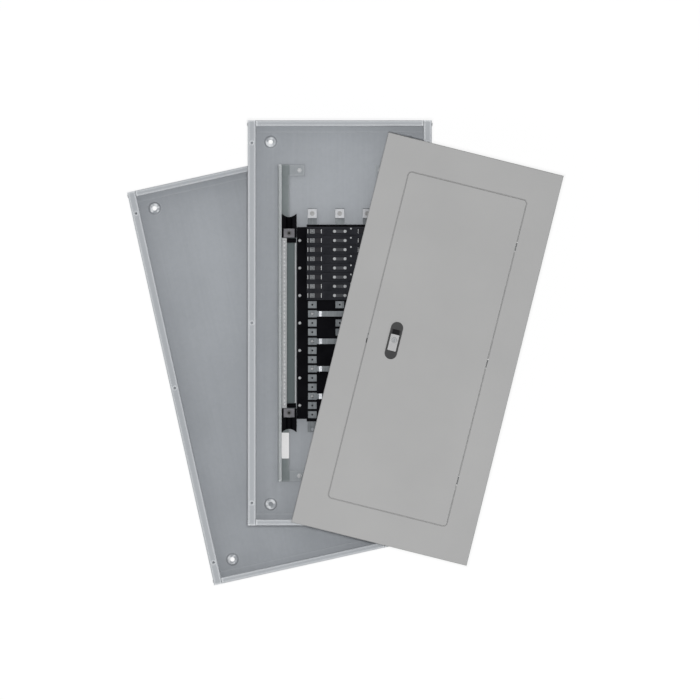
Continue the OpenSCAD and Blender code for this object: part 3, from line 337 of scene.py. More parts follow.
@dataclass(frozen=True)
class Finish:
    """What every finish shares: two tones, a gloss, worn edges, a grain and painted shade in a
    pocket.

    The tone is a sum of clouds, streaks and crystals. The roughness is that of the dark and of
    the light tone. Where two heights are given, a painted shade colour, lowest down in a recess,
    fades out between them.
    """

    name: str
    dark: Colour
    light: Colour
    rubbed: Colour
    metallic: float = 0.0
    roughness: Span = (0.5, 0.4)
    specular: float = 0.5
    edge_radius: float = 0.0006
    edge_band: float = 1.0
    edge_wear: float = 0.3
    grain_scale: float = 900.0
    grain_strength: float = 0.05
    grain_height: float = 0.0002
    mottle_scale: float = 5.0
    mottle_share: float = 1.0
    turn: float = 0.0
    across: float = 700.0
    along: float = 30.0
    streak_share: float = 0.0
    spangle_scale: float = 120.0
    spangle_share: float = 0.0
    # painted shade: a darker colour low in a recess, fading out between two heights
    recess_shade: Colour = (0.05, 0.05, 0.05)
    shade_heights: Span | None = None

    def tone(self, sketch: NodeSketch) -> Socket:
        """Adds up the patterns by their shares and leaves out those that have none.

        Args:
            sketch: The material's tree.

        Returns:
            The share of the lighter tone, 0 to 1.
        """
        streaks = {"Turn": self.turn, "Across": self.across, "Along": self.along}
        patterns = (
            (self.mottle_share, EFFECTS.cloud_mottle, {"Scale": self.mottle_scale}),
            (self.streak_share, EFFECTS.rolling_streaks, streaks),
            (self.spangle_share, EFFECTS.zinc_spangle, {"Scale": self.spangle_scale}),
        )
        return sketch.total(*(
            sketch.product(sketch.group(effect, **values).outputs[0], share)
            for share, effect, values in patterns if share
        ))

    def colour(self, sketch: NodeSketch, tone: Socket) -> Socket:
        """Returns the colour before edge wear, at each share of the lighter tone, with painted
        shade low in a recess.
        """
        tones = sketch.blend(tone, self.dark, self.light)
        return sketch.blend(sketch.rise(*self.shade_heights), self.recess_shade, tones) if self.shade_heights else tones

    def wear(self, sketch: NodeSketch, edge: Socket) -> Socket:
        """Returns the share of the rubbed colour, from the mask of where edges are."""
        return sketch.product(edge, self.edge_wear)

    @cached_property
    def material(self) -> bpy.types.Material:
        """Builds the material on its first use: tones, worn edges, gloss and grain in one shader.

        Returns:
            The finished material.
        """
        made = bpy.data.materials.new(self.name)
        made.use_nodes = True
        sketch = NodeSketch(made.node_tree)
        tone = self.tone(sketch)
        band = self.edge_radius * self.edge_band
        edges = sketch.group(EFFECTS.rounded_edges, Radius=self.edge_radius, Band=band).outputs
        worn = self.wear(sketch, edges["Edge"])
        grain = sketch.group(EFFECTS.fine_grain, Scale=self.grain_scale)
        bump = sketch.node("ShaderNodeBump", {
            "Strength": self.grain_strength,
            "Distance": self.grain_height,
            "Height": grain,
            "Normal": edges["Normal"],
        })
        shader = sketch.node("ShaderNodeBsdfPrincipled", {
            "Metallic": self.metallic,
            "Specular IOR Level": self.specular,
            "Base Color": sketch.blend(worn, self.colour(sketch, tone), self.rubbed),
            "Roughness": sketch.spread(tone, UNIT, self.roughness),
            "Normal": bump,
        })
        sketch.node("ShaderNodeOutputMaterial", {"Surface": shader})
        return made


@dataclass(frozen=True)
class ZincCoat(Finish):
    """Galvanised sheet: slow clouds, a faint spangle and streaks along the rolling direction."""

    dark: Colour = (0.372, 0.392, 0.418)
    light: Colour = (0.420, 0.441, 0.468)
    rubbed: Colour = (0.90, 0.92, 0.94)
    metallic: float = 0.30
    roughness: Span = (0.52, 0.36)
    specular: float = 0.3
    edge_radius: float = 0.0016
    edge_band: float = 5.0
    # edge_wear with rubbed: painted highlight on the flanges' bends; low_wear is real wear on the
    # other edges
    edge_wear: float = 0.80
    grain_scale: float = 1400.0
    grain_strength: float = 0.04
    mottle_scale: float = 3.0
    mottle_share: float = 0.5
    across: float = 160.0
    along: float = 3.0
    streak_share: float = 0.28
    spangle_share: float = 0.22
    low_wear: float = 0.15
    paler: Span = (0.7, 1.0)
    # rim: painted light on the upward flanges near the rim
    rim: Colour = (0.412, 0.430, 0.451)
    rim_level: float = 1.0
    rim_depth: float = 0.006
    # seat: painted glints, in patches, on the raised seats round the mounting holes
    seat: Colour = (0.86, 0.88, 0.90)
    seat_level: float = 1.0
    seat_depth: float = 0.0014
    seat_glint_scale: float = 75.0
    glint_span: Span = (0.42, 0.58)
    level_span: Span = (0.80, 0.95)

    def colour(self, sketch: NodeSketch, tone: Socket) -> Socket:
        """Paints light on the flanges near the rim, which face up and catch it, and patchy painted
        glints on the raised seats.

        Args:
            sketch: The material's tree.
            tone: Share of the lighter tone.

        Returns:
            The colour.
        """
        # painted light: the flanges near the rim are lightened towards the rim colour
        near_rim = sketch.rise(self.rim_level - self.rim_depth, self.rim_level)
        share = sketch.product(near_rim, sketch.spread(tone, UNIT, self.paler))
        flange_lit = sketch.blend(share, super().colour(sketch, tone), self.rim)
        # painted glints: patches of the seat colour on the level tops of the raised seats
        clear = self.seat_level + self.seat_depth
        on_seat = sketch.rise(self.seat_level - self.seat_depth, self.seat_level)
        off_wall = sketch.rise(clear + self.seat_depth, clear)
        glint_noise = sketch.noise(sketch.object_place(), self.seat_glint_scale, detail=1.0)
        glint_patches = sketch.spread(glint_noise, self.glint_span)
        share = sketch.product(on_seat, off_wall, sketch.upward(*self.level_span), glint_patches)
        return sketch.blend(share, flange_lit, self.seat)

    def wear(self, sketch: NodeSketch, edge: Socket) -> Socket:
        """Returns the rubbed colour's share on edges: most on the flanges' edges, where it is a
        painted highlight on their bends, and a little wear elsewhere.
        """
        near_rim = sketch.rise(self.rim_level - self.rim_depth, self.rim_level - self.rim_depth / 2)
        return sketch.product(edge, sketch.spread(near_rim, UNIT, (self.low_wear, self.edge_wear)))


@dataclass(frozen=True)
class RailZinc(ZincCoat):
    """Zinc of the interior rails, paler on the foot tabs that reach into the box."""

    dark: Colour = (0.188, 0.213, 0.217)
    light: Colour = (0.236, 0.262, 0.267)
    # rim: painted light on the tops of the rails' lips
    rim: Colour = (0.285, 0.312, 0.318)
    tab: Colour = (0.36, 0.38, 0.40)
    tab_edge: float = 0.0
    tab_fade: float = 0.003

    def colour(self, sketch: NodeSketch, tone: Socket) -> Socket:
        """Lightens the tabs.

        Args:
            sketch: The material's tree.
            tone: Share of the lighter tone.

        Returns:
            The colour.
        """
        aside = sketch.arithmetic("ABSOLUTE", sketch.part(sketch.object_place(), "X"))
        on_tab = sketch.spread(aside, (self.tab_edge, self.tab_edge - self.tab_fade))
        share = sketch.product(on_tab, sketch.spread(tone, UNIT, self.paler))
        return sketch.blend(share, super().colour(sketch, tone), self.tab)


@dataclass(frozen=True)
class DrawnMetal(Finish):
    """Plated, tinned or polished metal with fine streaks along one direction and some clouds."""

    metallic: float = 0.8
    edge_radius: float = 0.0003
    edge_wear: float = 0.5
    mottle_scale: float = 40.0
    mottle_share: float = 0.4
    streak_share: float = 0.6


@dataclass(frozen=True)
class BentMetal(DrawnMetal):
    """Plated strip with a painted highlight on its sloped faces."""

    # painted highlight on the strip's slopes
    slope_highlight: Colour = (0.40, 0.41, 0.43)
    off_flat: Span = (0.99, 0.95)
    off_upright: Span = (0.10, 0.30)

    def colour(self, sketch: NodeSketch, tone: Socket) -> Socket:
        """Returns the colour, with a painted highlight on slopes, lighter than on flat and upright
        faces.
        """
        sloped = sketch.product(sketch.upward(*self.off_flat), sketch.upward(*self.off_upright))
        return sketch.blend(sloped, super().colour(sketch, tone), self.slope_highlight)


@dataclass(frozen=True)
class Moulding(Finish):
    """Moulded plastic: a fine-grained skin with soft flow marks."""

    roughness: Span = (0.54, 0.40)
    edge_radius: float = 0.0005
    grain_scale: float = 2200.0
    grain_strength: float = 0.15
    mottle_scale: float = 25.0


@dataclass(frozen=True)
class PowderCoat(Finish):
    """Grey powder coat: an orange-peel skin with hardly any change of tone."""

    roughness: Span = (0.48, 0.40)
    specular: float = 0.35
    edge_radius: float = 0.0008
    edge_wear: float = 0.25
    grain_scale: float = 1100.0
    grain_strength: float = 0.09


@dataclass(frozen=True)
class PaperStock(Finish):
    """Uncoated paper with soft fibres, blank unless it is ruled."""

    rubbed: Colour = (0.90, 0.90, 0.89)
    roughness: Span = (0.85, 0.7)
    specular: float = 0.25
    edge_radius: float = 0.0001
    mottle_scale: float = 260.0
    ruled: bool = False
    line_pitch: float = 0.0085
    line_share: float = 0.07
    line_colour: Colour = (0.30, 0.31, 0.33)

    def colour(self, sketch: NodeSketch, tone: Socket) -> Socket:
        """Draws the ruled lines over the paper, if it has any.

        Args:
            sketch: The material's tree.
            tone: Share of the lighter tone.

        Returns:
            The colour.
        """
        paper = super().colour(sketch, tone)
        if not self.ruled:
            return paper
        down = sketch.part(sketch.turned_place(-self.turn), "Y")
        phase = sketch.arithmetic("FRACT", sketch.arithmetic("DIVIDE", down, self.line_pitch))
        line = sketch.arithmetic("LESS_THAN", phase, self.line_share)
        return sketch.blend(line, paper, self.line_colour)


class FinishRack:
    """Holds the finishes of the set, for all pieces to share."""

    EMPTY_TURN = math.radians(12.5)
    TRIM_TURN = math.radians(-14.0)
    SEAT_HEIGHT = 0.0056
    RAIL_WIDTH = 0.0310
    BAR_FLOOR = 0.0045
    BAR_EDGE = 0.0030
    CLIP_FLOOR = 0.0060
    CLIP_EDGE = 0.0004
    STEEL = (0.14, 0.19, 0.26)
    SOCKET_FLOOR = 0.0016
    SOCKET_EDGE = 0.0006
    CUP_FLOOR = 0.0070
    CUP_EDGE = 0.0035

    def __init__(self) -> None:
        """Mixes every finish."""
        self._sheet_finishes()
        self._metal_finishes()
        self._sunk_finishes()
        self._other_finishes()

    def _sheet_finishes(self) -> None:
        """Mixes the zinc of the two boxes and of the rails, and the paint of the trim."""
        back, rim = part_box("empty_box_shell")
        self.empty_zinc = ZincCoat(
            "galvanised_empty", turn=self.EMPTY_TURN, rim_level=rim.z,
            seat_level=back.z + self.SEAT_HEIGHT,
        )
        back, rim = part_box("box_shell")
        self.fitted_zinc = ZincCoat(
            "galvanised_fitted", rim_level=rim.z, seat_level=back.z + self.SEAT_HEIGHT,
        )
        low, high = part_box("left_rail")
        self.rail_zinc = RailZinc(
            "galvanised_rails", rim_level=high.z, tab_edge=-low.x - self.RAIL_WIDTH,
        )
        self.paint = PowderCoat(
            "grey_powder_coat", (0.396, 0.396, 0.395), (0.416, 0.416, 0.414), (0.46, 0.46, 0.46),
        )

    def _metal_finishes(self) -> None:
        """Mixes the plated, tinned and polished metals."""
        self.plated = DrawnMetal(
            "zinc_plate", (0.32, 0.33, 0.34), (0.50, 0.51, 0.52), (0.70, 0.71, 0.72),
            metallic=0.85, roughness=(0.40, 0.24),
        )
        self.tinned = BentMetal(
            "tin_plate", (0.155, 0.168, 0.180), (0.265, 0.282, 0.294), (0.50, 0.51, 0.53),
            metallic=0.9, roughness=(0.42, 0.26), edge_radius=0.0006, edge_wear=0.55,
            across=500.0, along=20.0,
        )
        self.lug_metal = DrawnMetal(
            "lug_aluminium", (0.50, 0.51, 0.53), (0.60, 0.61, 0.63), (0.74, 0.75, 0.77),
            roughness=(0.46, 0.32), edge_radius=0.0008, across=400.0,
        )
        self.bright = DrawnMetal(
            "bright_plate", (0.41, 0.41, 0.415), (0.53, 0.53, 0.535), (0.82, 0.82, 0.82),
            metallic=0.9, roughness=(0.30, 0.18), edge_radius=0.0005,
            turn=self.TRIM_TURN, across=900.0, along=40.0,
        )

    def _sunk_finishes(self) -> None:
        """Mixes the metals that lie low between other pieces, several with painted shade in their
        recesses.
        """
        low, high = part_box("left_neutral_bar")
        self.neutral_metal = DrawnMetal(
            "neutral_bar_tin", (0.37, 0.38, 0.39), (0.46, 0.47, 0.48), (0.66, 0.67, 0.68),
            metallic=0.75, roughness=(0.44, 0.30), edge_radius=0.0018, edge_wear=0.8,
            # painted shade on the floor of the bar's channel
            across=420.0, along=16.0, recess_shade=(0.105, 0.127, 0.130),
            shade_heights=(low.z + self.BAR_FLOOR, high.z - self.BAR_EDGE),
        )
        low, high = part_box("terminal_clips")
        self.clip_metal = DrawnMetal(
            "clip_tin", (0.55, 0.56, 0.57), (0.72, 0.73, 0.74), (0.80, 0.80, 0.81),
            roughness=(0.42, 0.30), edge_radius=0.0004, edge_wear=0.2,
            # painted shade on the clips' floors, low in their pockets
            recess_shade=(0.030, 0.030, 0.034), shade_heights=(low.z + self.CLIP_FLOOR, high.z - self.CLIP_EDGE),
        )
        # painted shade: the centre links' tin is painted dark for the shade of their pockets
        self.shaded_link_metal = DrawnMetal(
            "link_tin_painted_shade", (0.050, 0.052, 0.058), (0.090, 0.092, 0.100), (0.24, 0.24, 0.25),
            metallic=0.7, roughness=(0.46, 0.34), edge_radius=0.0004, edge_wear=0.4,
        )
        self.terminal_plate = DrawnMetal(
            "terminal_zinc", (0.52, 0.53, 0.54), (0.70, 0.71, 0.72), (0.84, 0.85, 0.86),
            roughness=(0.40, 0.26),
        )
        self.clamp_metal = DrawnMetal(
            "clamp_tin", (0.17, 0.18, 0.19), (0.31, 0.32, 0.33), (0.50, 0.51, 0.52),
            roughness=(0.42, 0.28), edge_radius=0.0005,
        )
        self.dull_lug = DrawnMetal(
            "neutral_lug_aluminium",
            (0.135, 0.133, 0.145), (0.215, 0.211, 0.226), (0.38, 0.37, 0.39),
            roughness=(0.48, 0.34), edge_radius=0.0008, edge_wear=0.4, across=400.0,
        )
        # painted shade on the socket floors: dark for the neutral screws, mid grey for the main
        # screws
        self.main_screw = self._socket_steel(
            "main_screw_steel", "main_lug_screws", level=2.4, recess_shade=0.42,
        )
        self.neutral_screw = self._socket_steel(
            "neutral_screw_steel", "neutral_lug_screws", level=0.7, recess_shade=0.012,
        )

    def _socket_steel(self, name: str, node: str, level: float, recess_shade: float) -> Finish:
        """Mixes the steel of a socket set screw, with a painted shade brightness inside the socket.

        Args:
            name: Name of the finish.
            node: Node of the screws, which gives the height of their tops.
            level: Brightness of the tops, as a multiple of plain steel.
            recess_shade: Brightness of the sockets' floors, painted for their shade.

        Returns:
            The finish.
        """
        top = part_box(node)[1].z
        return DrawnMetal(
            name, *((tone * level,) * 3 for tone in self.STEEL),
            roughness=(0.44, 0.32), edge_wear=0.4, recess_shade=(recess_shade,) * 3,
            shade_heights=(top - self.SOCKET_FLOOR, top - self.SOCKET_EDGE),
        )

    def _other_finishes(self) -> None:
        """Mixes the mouldings and the papers."""
        self.black = Moulding(
            "black_moulding",
            (0.0018, 0.0018, 0.0025), (0.0036, 0.0036, 0.0048), (0.016, 0.016, 0.018),
            specular=0.04, edge_wear=0.35,
        )
        self.charcoal = Moulding(
            "charcoal_moulding",
            (0.0150, 0.0160, 0.0195), (0.0240, 0.0250, 0.0295), (0.050, 0.051, 0.056),
            specular=0.10, edge_wear=0.5,
        )
        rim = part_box("latch_housing")[1].z
        self.latch_grey = Moulding(
            "latch_moulding", (0.048, 0.048, 0.049), (0.060, 0.060, 0.061), (0.11, 0.11, 0.11),
            roughness=(0.54, 0.42), specular=0.2, edge_radius=0.0006,
            grain_scale=2000.0, grain_strength=0.12,
            # painted shade in the housing's cup
            recess_shade=(0.010, 0.010, 0.011), shade_heights=(rim - self.CUP_FLOOR, rim - self.CUP_EDGE),
        )
        self.card = PaperStock(
            "directory_paper", (0.80, 0.80, 0.78), (0.88, 0.88, 0.87),
            ruled=True, turn=self.TRIM_TURN,
        )
        self.label = PaperStock("label_paper", (0.88, 0.88, 0.88), (0.95, 0.95, 0.95))


class Workpiece:
    """A new piece on the bench, which Blender's operators shape."""

    SMOOTH_ANGLE = math.radians(35.0)

    def __init__(self, name: str) -> None:
        """Takes up the primitive that was just added and settles its place into its mesh.

        Args:
            name: The piece's name.
        """
        self.object = bpy.context.object
        self.object.name = self.object.data.name = name
        bpy.ops.object.transform_apply()

    @staticmethod
    def clear() -> None:
        """Leaves edit mode and deselects everything."""
        if bpy.context.object and bpy.context.object.mode != "OBJECT":
            bpy.ops.object.mode_set(mode="OBJECT")
        bpy.ops.object.select_all(action="DESELECT")

    @classmethod
    def block(cls, name: str, low: Point, high: Point) -> "Workpiece":
        """Adds a block between two corners.

        Args:
            name: The piece's name.
            low: Lowest corner.
            high: Highest corner.

        Returns:
            The block.
        """
        cls.clear()
        middle = [(a + b) / 2 for a, b in zip(low, high)]
        bpy.ops.mesh.primitive_cube_add(size=1.0, location=middle)
        bpy.context.object.scale = [b - a for a, b in zip(low, high)]
        return cls(name)

    @classmethod
    def rod(cls, name: str, sides: int, radius: float, low: Point, length: float,
            turn: float = 0.0, hollow: bool = False) -> "Workpiece":
        """Adds an upright rod.

        Args:
            name: The piece's name.
            sides: Number of sides.
            radius: Radius at the corners.
            low: Middle of its lower end.
            length: Length upwards.
            turn: Turn about its axis.
            hollow: Whether its ends stay open.

        Returns:
            The rod.
        """
        cls.clear()
        bpy.ops.mesh.primitive_cylinder_add(
            vertices=sides, radius=radius, depth=length,
            end_fill_type="NOTHING" if hollow else "NGON",
            location=(*low[:2], low[2] + length / 2), rotation=(0.0, 0.0, turn),
        )
        return cls(name)

    def take(self, *others: Piece) -> None:
        """Selects this piece, with any other objects, and makes it the active one.

        Args:
            others: Objects that the next step takes in.
        """
        self.clear()
        for taken in (*others, self.object):
            taken.select_set(True)
        bpy.context.view_layer.objects.active = self.object

    def pick(self, part: Part, test: Test = lambda middle, element: True) -> None:
        """Goes into edit mode and selects what passes a test, or all without one.

        Args:
            part: Whether corners, edges or faces are picked.
            test: Takes the middle of an element and the element.
        """
        self.take()
        bpy.ops.object.mode_set(mode="EDIT")
        held, mode = part.value
        bpy.ops.mesh.select_mode(type=mode)
        bpy.ops.mesh.select_all(action="DESELECT")
        mesh = bmesh.from_edit_mesh(self.object.data)
        for element in getattr(mesh, held):
            corners = getattr(element, "verts", [element])
            middle = sum((corner.co for corner in corners), Vector()) / len(corners)
            element.select_set(test(middle, element))
        mesh.select_flush_mode()
        bmesh.update_edit_mesh(self.object.data)

    def pick_level(self, part: Part, level: float) -> None:
        """Selects what lies at one height."""
        self.pick(part, lambda middle, element: abs(middle.z - level) < TOUCH)

    def break_edges(self, level: float, offset: float, segments: int) -> None:
        """Bevels the edges that lie at one height."""
        self.pick_level(Part.EDGES, level)
        bpy.ops.mesh.bevel(offset=offset, segments=segments, affect="EDGES")

    def modify(self, kind: str, **settings: object) -> None:
        """Adds a modifier, sets it up and applies it.

        Args:
            kind: Blender's name for the modifier type.
            settings: Values for its settings.
        """
        self.take()
        made = self.object.modifiers.new(kind, kind)
        for setting, value in settings.items():
            setattr(made, setting, value)
        bpy.ops.object.modifier_apply(modifier=made.name)

    def drill(self, cutter: Piece) -> None:
        """Cuts another object out of the piece and removes it."""
        self.modify("BOOLEAN", operation="DIFFERENCE", solver="EXACT", object=cutter)
        bpy.data.objects.remove(cutter)

    def join(self, *others: Piece) -> None:
        """Joins other objects into the piece."""
        self.take(*others)
        bpy.ops.object.join()

    def copy(self, moves: list[Point]) -> None:
        """Copies the piece to other places, each copy with its own mesh, and joins them all.

        Args:
            moves: How far each copy goes from the piece.
        """
        made = []
        for move in moves:
            self.take()
            bpy.ops.object.duplicate()
            bpy.ops.transform.translate(value=move)
            bpy.ops.object.transform_apply()
            made.append(bpy.context.object)
        self.join(*made)

    def close(self, body: Body, slot: Slot, finish: Finish) -> None:
        """Completes the piece: outward faces, smooth shading, finish and body.

        Args:
            body: The body that it moves with.
            slot: The record's slot for the piece; it is not used.
            finish: Its finish.
        """
        piece = self.object
        self.pick(Part.FACES)
        bpy.ops.mesh.normals_make_consistent()
        self.take()
        bpy.ops.object.shade_smooth_by_angle(angle=self.SMOOTH_ANGLE)
        piece.data.materials.clear()
        piece.data.materials.append(finish.material)
        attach(piece, body.value)
        log.info("modelled %s, %d faces", piece.name, len(piece.data.polygons))


@dataclass
class Assembly:
    """What every sub-assembly shares: the finishes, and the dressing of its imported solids."""

    rack: FinishRack

    def dress(self, finish: Finish, *nodes: str) -> None:
        """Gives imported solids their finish.

        Args:
            finish: Finish for all of their slots.
            nodes: Names of the solids' nodes.
        """
        for node in nodes:
            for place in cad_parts[node].material_slots:
                place.material = finish.material
            log.info("dressed %s in %s", node, finish.name)


@dataclass
class BackBox(Assembly):
    """A galvanised back box: shell, two end walls and the screws that hold them."""

    prefix: str
    zinc: Finish

    def build(self) -> None:
        """Dresses the box."""
        for wall in ("shell", "top_wall", "bottom_wall"):
            self.dress(self.zinc, f"{self.prefix}_{wall}")
        self.dress(self.rack.plated, f"{self.prefix}_wall_screws")


@dataclass
class RailStuds(Assembly):
    """Rails, braces, the threaded studs that carry the interior, and the rail's label."""

    shoulder_sides: int = 6
    shoulder_radius: float = 0.0065
    shoulder_height: float = 0.0124
    thread_sides: int = 20
    crest_radius: float = 0.00315
    root_radius: float = 0.0027
    thread_pitch: float = 0.0012
    chamfer: float = 0.0005
    label_width: float = 0.0204
    label_length: float = 0.0715
    label_thickness: float = 0.0002
    label_corner: float = 0.0018
    label_end: float = 0.0640
    rail_lip: float = 0.0102
    rail_sheet: float = 0.0016

    def build(self) -> None:
        """Models the studs and the label, and dresses the rails."""
        self.dress(self.rack.rail_zinc, "left_rail", "right_rail", "cross_braces")
        self.dress(self.rack.terminal_plate, "interior_nuts")
        self.dress(self.rack.plated, "brace_screws")
        self._studs()
        self._label()

    def _studs(self) -> None:
        """Models one stud with its hexagon shoulder and thread, and copies it to the others."""
        low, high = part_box("interior_studs")
        across, height = self.shoulder_radius, self.shoulder_height
        turn = math.pi / self.shoulder_sides
        half = across * math.cos(turn)
        foot = (low.x + across, low.y + half, low.z)
        stud = Workpiece.rod("stud_set", self.shoulder_sides, across, foot, height, turn)
        top = foot[2] + height
        stud.break_edges(top, self.chamfer, segments=2)
        start = (*foot[:2], top - self.chamfer)
        stud.join(self._thread(start, high.z - top + self.chamfer))
        span_x = high.x - low.x - 2 * across
        span_y = high.y - low.y - 2 * half
        stud.copy([(span_x, 0.0, 0.0), (0.0, span_y, 0.0), (span_x, span_y, 0.0)])
        stud.close(Body.FITTED_BOX, Slot.PLATED, self.rack.terminal_plate)
        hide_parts("interior_studs")

    def _thread(self, foot: Point, length: float) -> Piece:
        """Models a threaded rod: one ridge, repeated along the rod and closed at its ends.

        Args:
            foot: Middle of its lower end.
            length: Length upwards.

        Returns:
            The rod.
        """
        turns = int(length / self.thread_pitch)
        pitch = length / turns
        crest = foot[2] + pitch / 2
        rod = Workpiece.rod("thread", self.thread_sides, self.root_radius, foot, pitch, hollow=True)
        rod.pick_level(Part.EDGES, crest)
        bpy.ops.mesh.subdivide()
        rod.pick_level(Part.VERTS, crest)
        grow = self.crest_radius / self.root_radius
        bpy.ops.transform.resize(value=(grow, grow, 1.0), center_override=(*foot[:2], crest))
        rod.modify(
            "ARRAY", count=turns, use_relative_offset=False, use_constant_offset=True,
            constant_offset_displace=(0.0, 0.0, pitch), use_merge_vertices=True,
            merge_threshold=TOUCH,
        )
        for level in (foot[2], foot[2] + length):
            rod.pick_level(Part.EDGES, level)
            bpy.ops.mesh.edge_face_add()
        bpy.ops.mesh.inset(thickness=self.chamfer)
        return rod.object

    def _label(self) -> None:
        """Models the blank label on the floor of the left rail, near its lower end."""
        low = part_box("left_rail")[0]
        middle = (
            low.x + self.rail_lip + self.label_width / 2,
            low.y + self.label_end + self.label_length / 2,
            low.z + self.rail_sheet,
        )
        Workpiece.clear()
        bpy.ops.mesh.primitive_plane_add(size=1.0, location=middle)
        bpy.context.object.scale = (self.label_width, self.label_length, 1.0)
        label = Workpiece("rail_label")
        label.pick(Part.VERTS)
        bpy.ops.mesh.bevel(offset=self.label_corner, segments=5, affect="VERTICES")
        bpy.ops.mesh.select_all(action="SELECT")
        lift = {"value": (0.0, 0.0, self.label_thickness)}
        bpy.ops.mesh.extrude_region_move(TRANSFORM_OT_translate=lift)
        label.close(Body.FITTED_BOX, Slot.CARD, self.rack.label)


@dataclass
class BusInterior(Assembly):
    """Moulded base and cover, bus bars, cross straps, connector blocks and main lugs."""

    rib_width: float = 0.0012
    rib_height: float = 0.0010
    rib_length: float = 0.0150
    rib_pitch: float = 0.0031
    rib_count: int = 6
    first_rib: float = 0.0265
    rib_round: float = 0.0004
    row_pitch: float = 0.0254
    block_rows: int = 8
    block_top: float = 0.0150

    def build(self) -> None:
        """Models the ribs of the connector blocks and dresses the interior."""
        rack = self.rack
        self.dress(rack.black, "bus_base", "bus_cover")
        self.dress(rack.charcoal, "connector_blocks")
        self.dress(rack.tinned, "left_bus_bar", "center_bus_bar", "right_bus_bar", "cross_straps")
        self.dress(rack.clip_metal, "terminal_clips")
        self.dress(rack.shaded_link_metal, "center_links")
        self.dress(rack.lug_metal, "main_lugs")
        self.dress(rack.main_screw, "main_lug_screws")
        self.dress(rack.clamp_metal, "connector_screws")
        self.dress(rack.plated, "base_screws", "strap_bolts", "link_screws")
        self._ribs()

    def _ribs(self) -> None:
        """Models the ribs on one connector block and copies them to the blocks below it."""
        low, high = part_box("connector_blocks")
        top = low.z + self.block_top
        crown = top + self.rib_height
        row = high.y - self.row_pitch / 2
        right = (low.x + high.x) / 2 - self.first_rib
        ribs = Workpiece.block(
            "connector_ribs",
            (right - self.rib_width, row - self.rib_length / 2, top),
            (right, row + self.rib_length / 2, crown),
        )
        ribs.break_edges(crown, self.rib_round, segments=2)
        ribs.copy([(-i * self.rib_pitch, 0.0, 0.0) for i in range(1, self.rib_count)])
        ribs.copy([(0.0, -k * self.row_pitch, 0.0) for k in range(1, self.block_rows)])
        ribs.close(Body.FITTED_BOX, Slot.BLACK_MOULDING, self.rack.charcoal)


@dataclass
class NeutralBars(Assembly):
    """Neutral bars with their terminals, supports and cable lugs."""

    terminals: int = 42
    head_radius: float = 0.0040
    head_height: float = 0.0026
    washer_side: float = 0.0090
    washer_height: float = 0.0010
    washer_round: float = 0.0003
    hole_gap: float = 0.0002
    hole_sides: int = 16
    terminal_width: float = 0.0130
    lug_length: float = 0.0240
    barrier_end: float = 0.0022
    barrier_length: float = 0.0120
    barrier_clear: float = 0.0004
    barrier_height: float = 0.0120
    barrier_wall: float = 0.0018
    barrier_dip: float = 0.0030
    barrier_round: float = 0.0008

    def build(self) -> None:
        """Models the washers and barriers, and dresses the bars."""
        rack = self.rack
        self.dress(rack.neutral_metal, "left_neutral_bar", "right_neutral_bar")
        self.dress(rack.dull_lug, "neutral_lugs")
        self.dress(rack.neutral_screw, "neutral_lug_screws")
        self.dress(rack.terminal_plate, "left_neutral_screws", "right_neutral_screws")
        self.dress(rack.black, "neutral_supports")
        self._washers()
        self._barriers()

    def _washers(self) -> None:
        """Models one square washer round a terminal screw and copies it along both bars."""
        low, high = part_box("left_neutral_screws")
        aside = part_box("right_neutral_screws")[1].x - high.x
        middle = (low.x + high.x) / 2
        first = low.y + self.head_radius
        pitch = (high.y - low.y - 2 * self.head_radius) / (self.terminals - 1)
        seat = high.z - self.head_height
        crown = seat + self.washer_height
        half = self.washer_side / 2
        washers = Workpiece.block(
            "terminal_washers",
            (middle - half, first - half, seat), (middle + half, first + half, crown),
        )
        washers.break_edges(crown, self.washer_round, segments=1)
        drill = Workpiece.rod(
            "washer_drill", self.hole_sides, self.head_radius + self.hole_gap,
            (middle, first, seat - self.washer_height), 3 * self.washer_height,
        )
        washers.drill(drill.object)
        washers.copy([(0.0, i * pitch, 0.0) for i in range(1, self.terminals)])
        washers.copy([(aside, 0.0, 0.0)])
        washers.close(Body.FITTED_BOX, Slot.PLATED, self.rack.terminal_plate)

    def _barriers(self) -> None:
        """Models one moulded barrier next to a neutral lug and copies it to the other lugs."""
        low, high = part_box("neutral_lugs")
        bar_low, bar_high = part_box("left_neutral_bar")
        near = bar_low.x + self.terminal_width + self.barrier_clear
        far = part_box("right_neutral_bar")[0].x + self.barrier_clear
        inner = low.y + self.lug_length + self.barrier_end
        outer = inner + self.barrier_length
        barriers = Workpiece.block(
            "neutral_barriers", (near, inner, low.z),
            (bar_high.x - self.barrier_clear, outer, low.z + self.barrier_height),
        )
        barriers.pick(Part.EDGES, lambda middle, edge: middle.z > low.z + TOUCH)
        bpy.ops.mesh.bevel(offset=self.barrier_round, segments=2, affect="EDGES")
        barriers.pick(Part.FACES, lambda middle, face: face.normal.z > FACES_UP)
        bpy.ops.mesh.inset(thickness=self.barrier_wall)
        bpy.ops.transform.translate(value=(0.0, 0.0, -self.barrier_dip))
        aside = far - near
        along = high.y - self.lug_length - self.barrier_end - outer
        barriers.copy([(aside, 0.0, 0.0), (0.0, along, 0.0), (aside, along, 0.0)])
        barriers.close(Body.FITTED_BOX, Slot.BLACK_MOULDING, self.rack.black)


@dataclass
class TrimFront(Assembly):
    """Trim frame, hooks, concealed hinges and the door with its directory."""

    def build(self) -> None:
        """Dresses the trim and the door."""
        self.dress(
            self.rack.paint, "trim_frame", "trim_returns", "opening_lip", "door_stops",
            "door_panel", "door_returns", "directory_holder",
        )
        self.dress(
            self.rack.plated, "trim_hooks", "hinge_frame_leaves", "hinge_pins",
            "hinge_door_arms", "latch_keeper",
        )
        self.dress(self.rack.card, "directory_card")


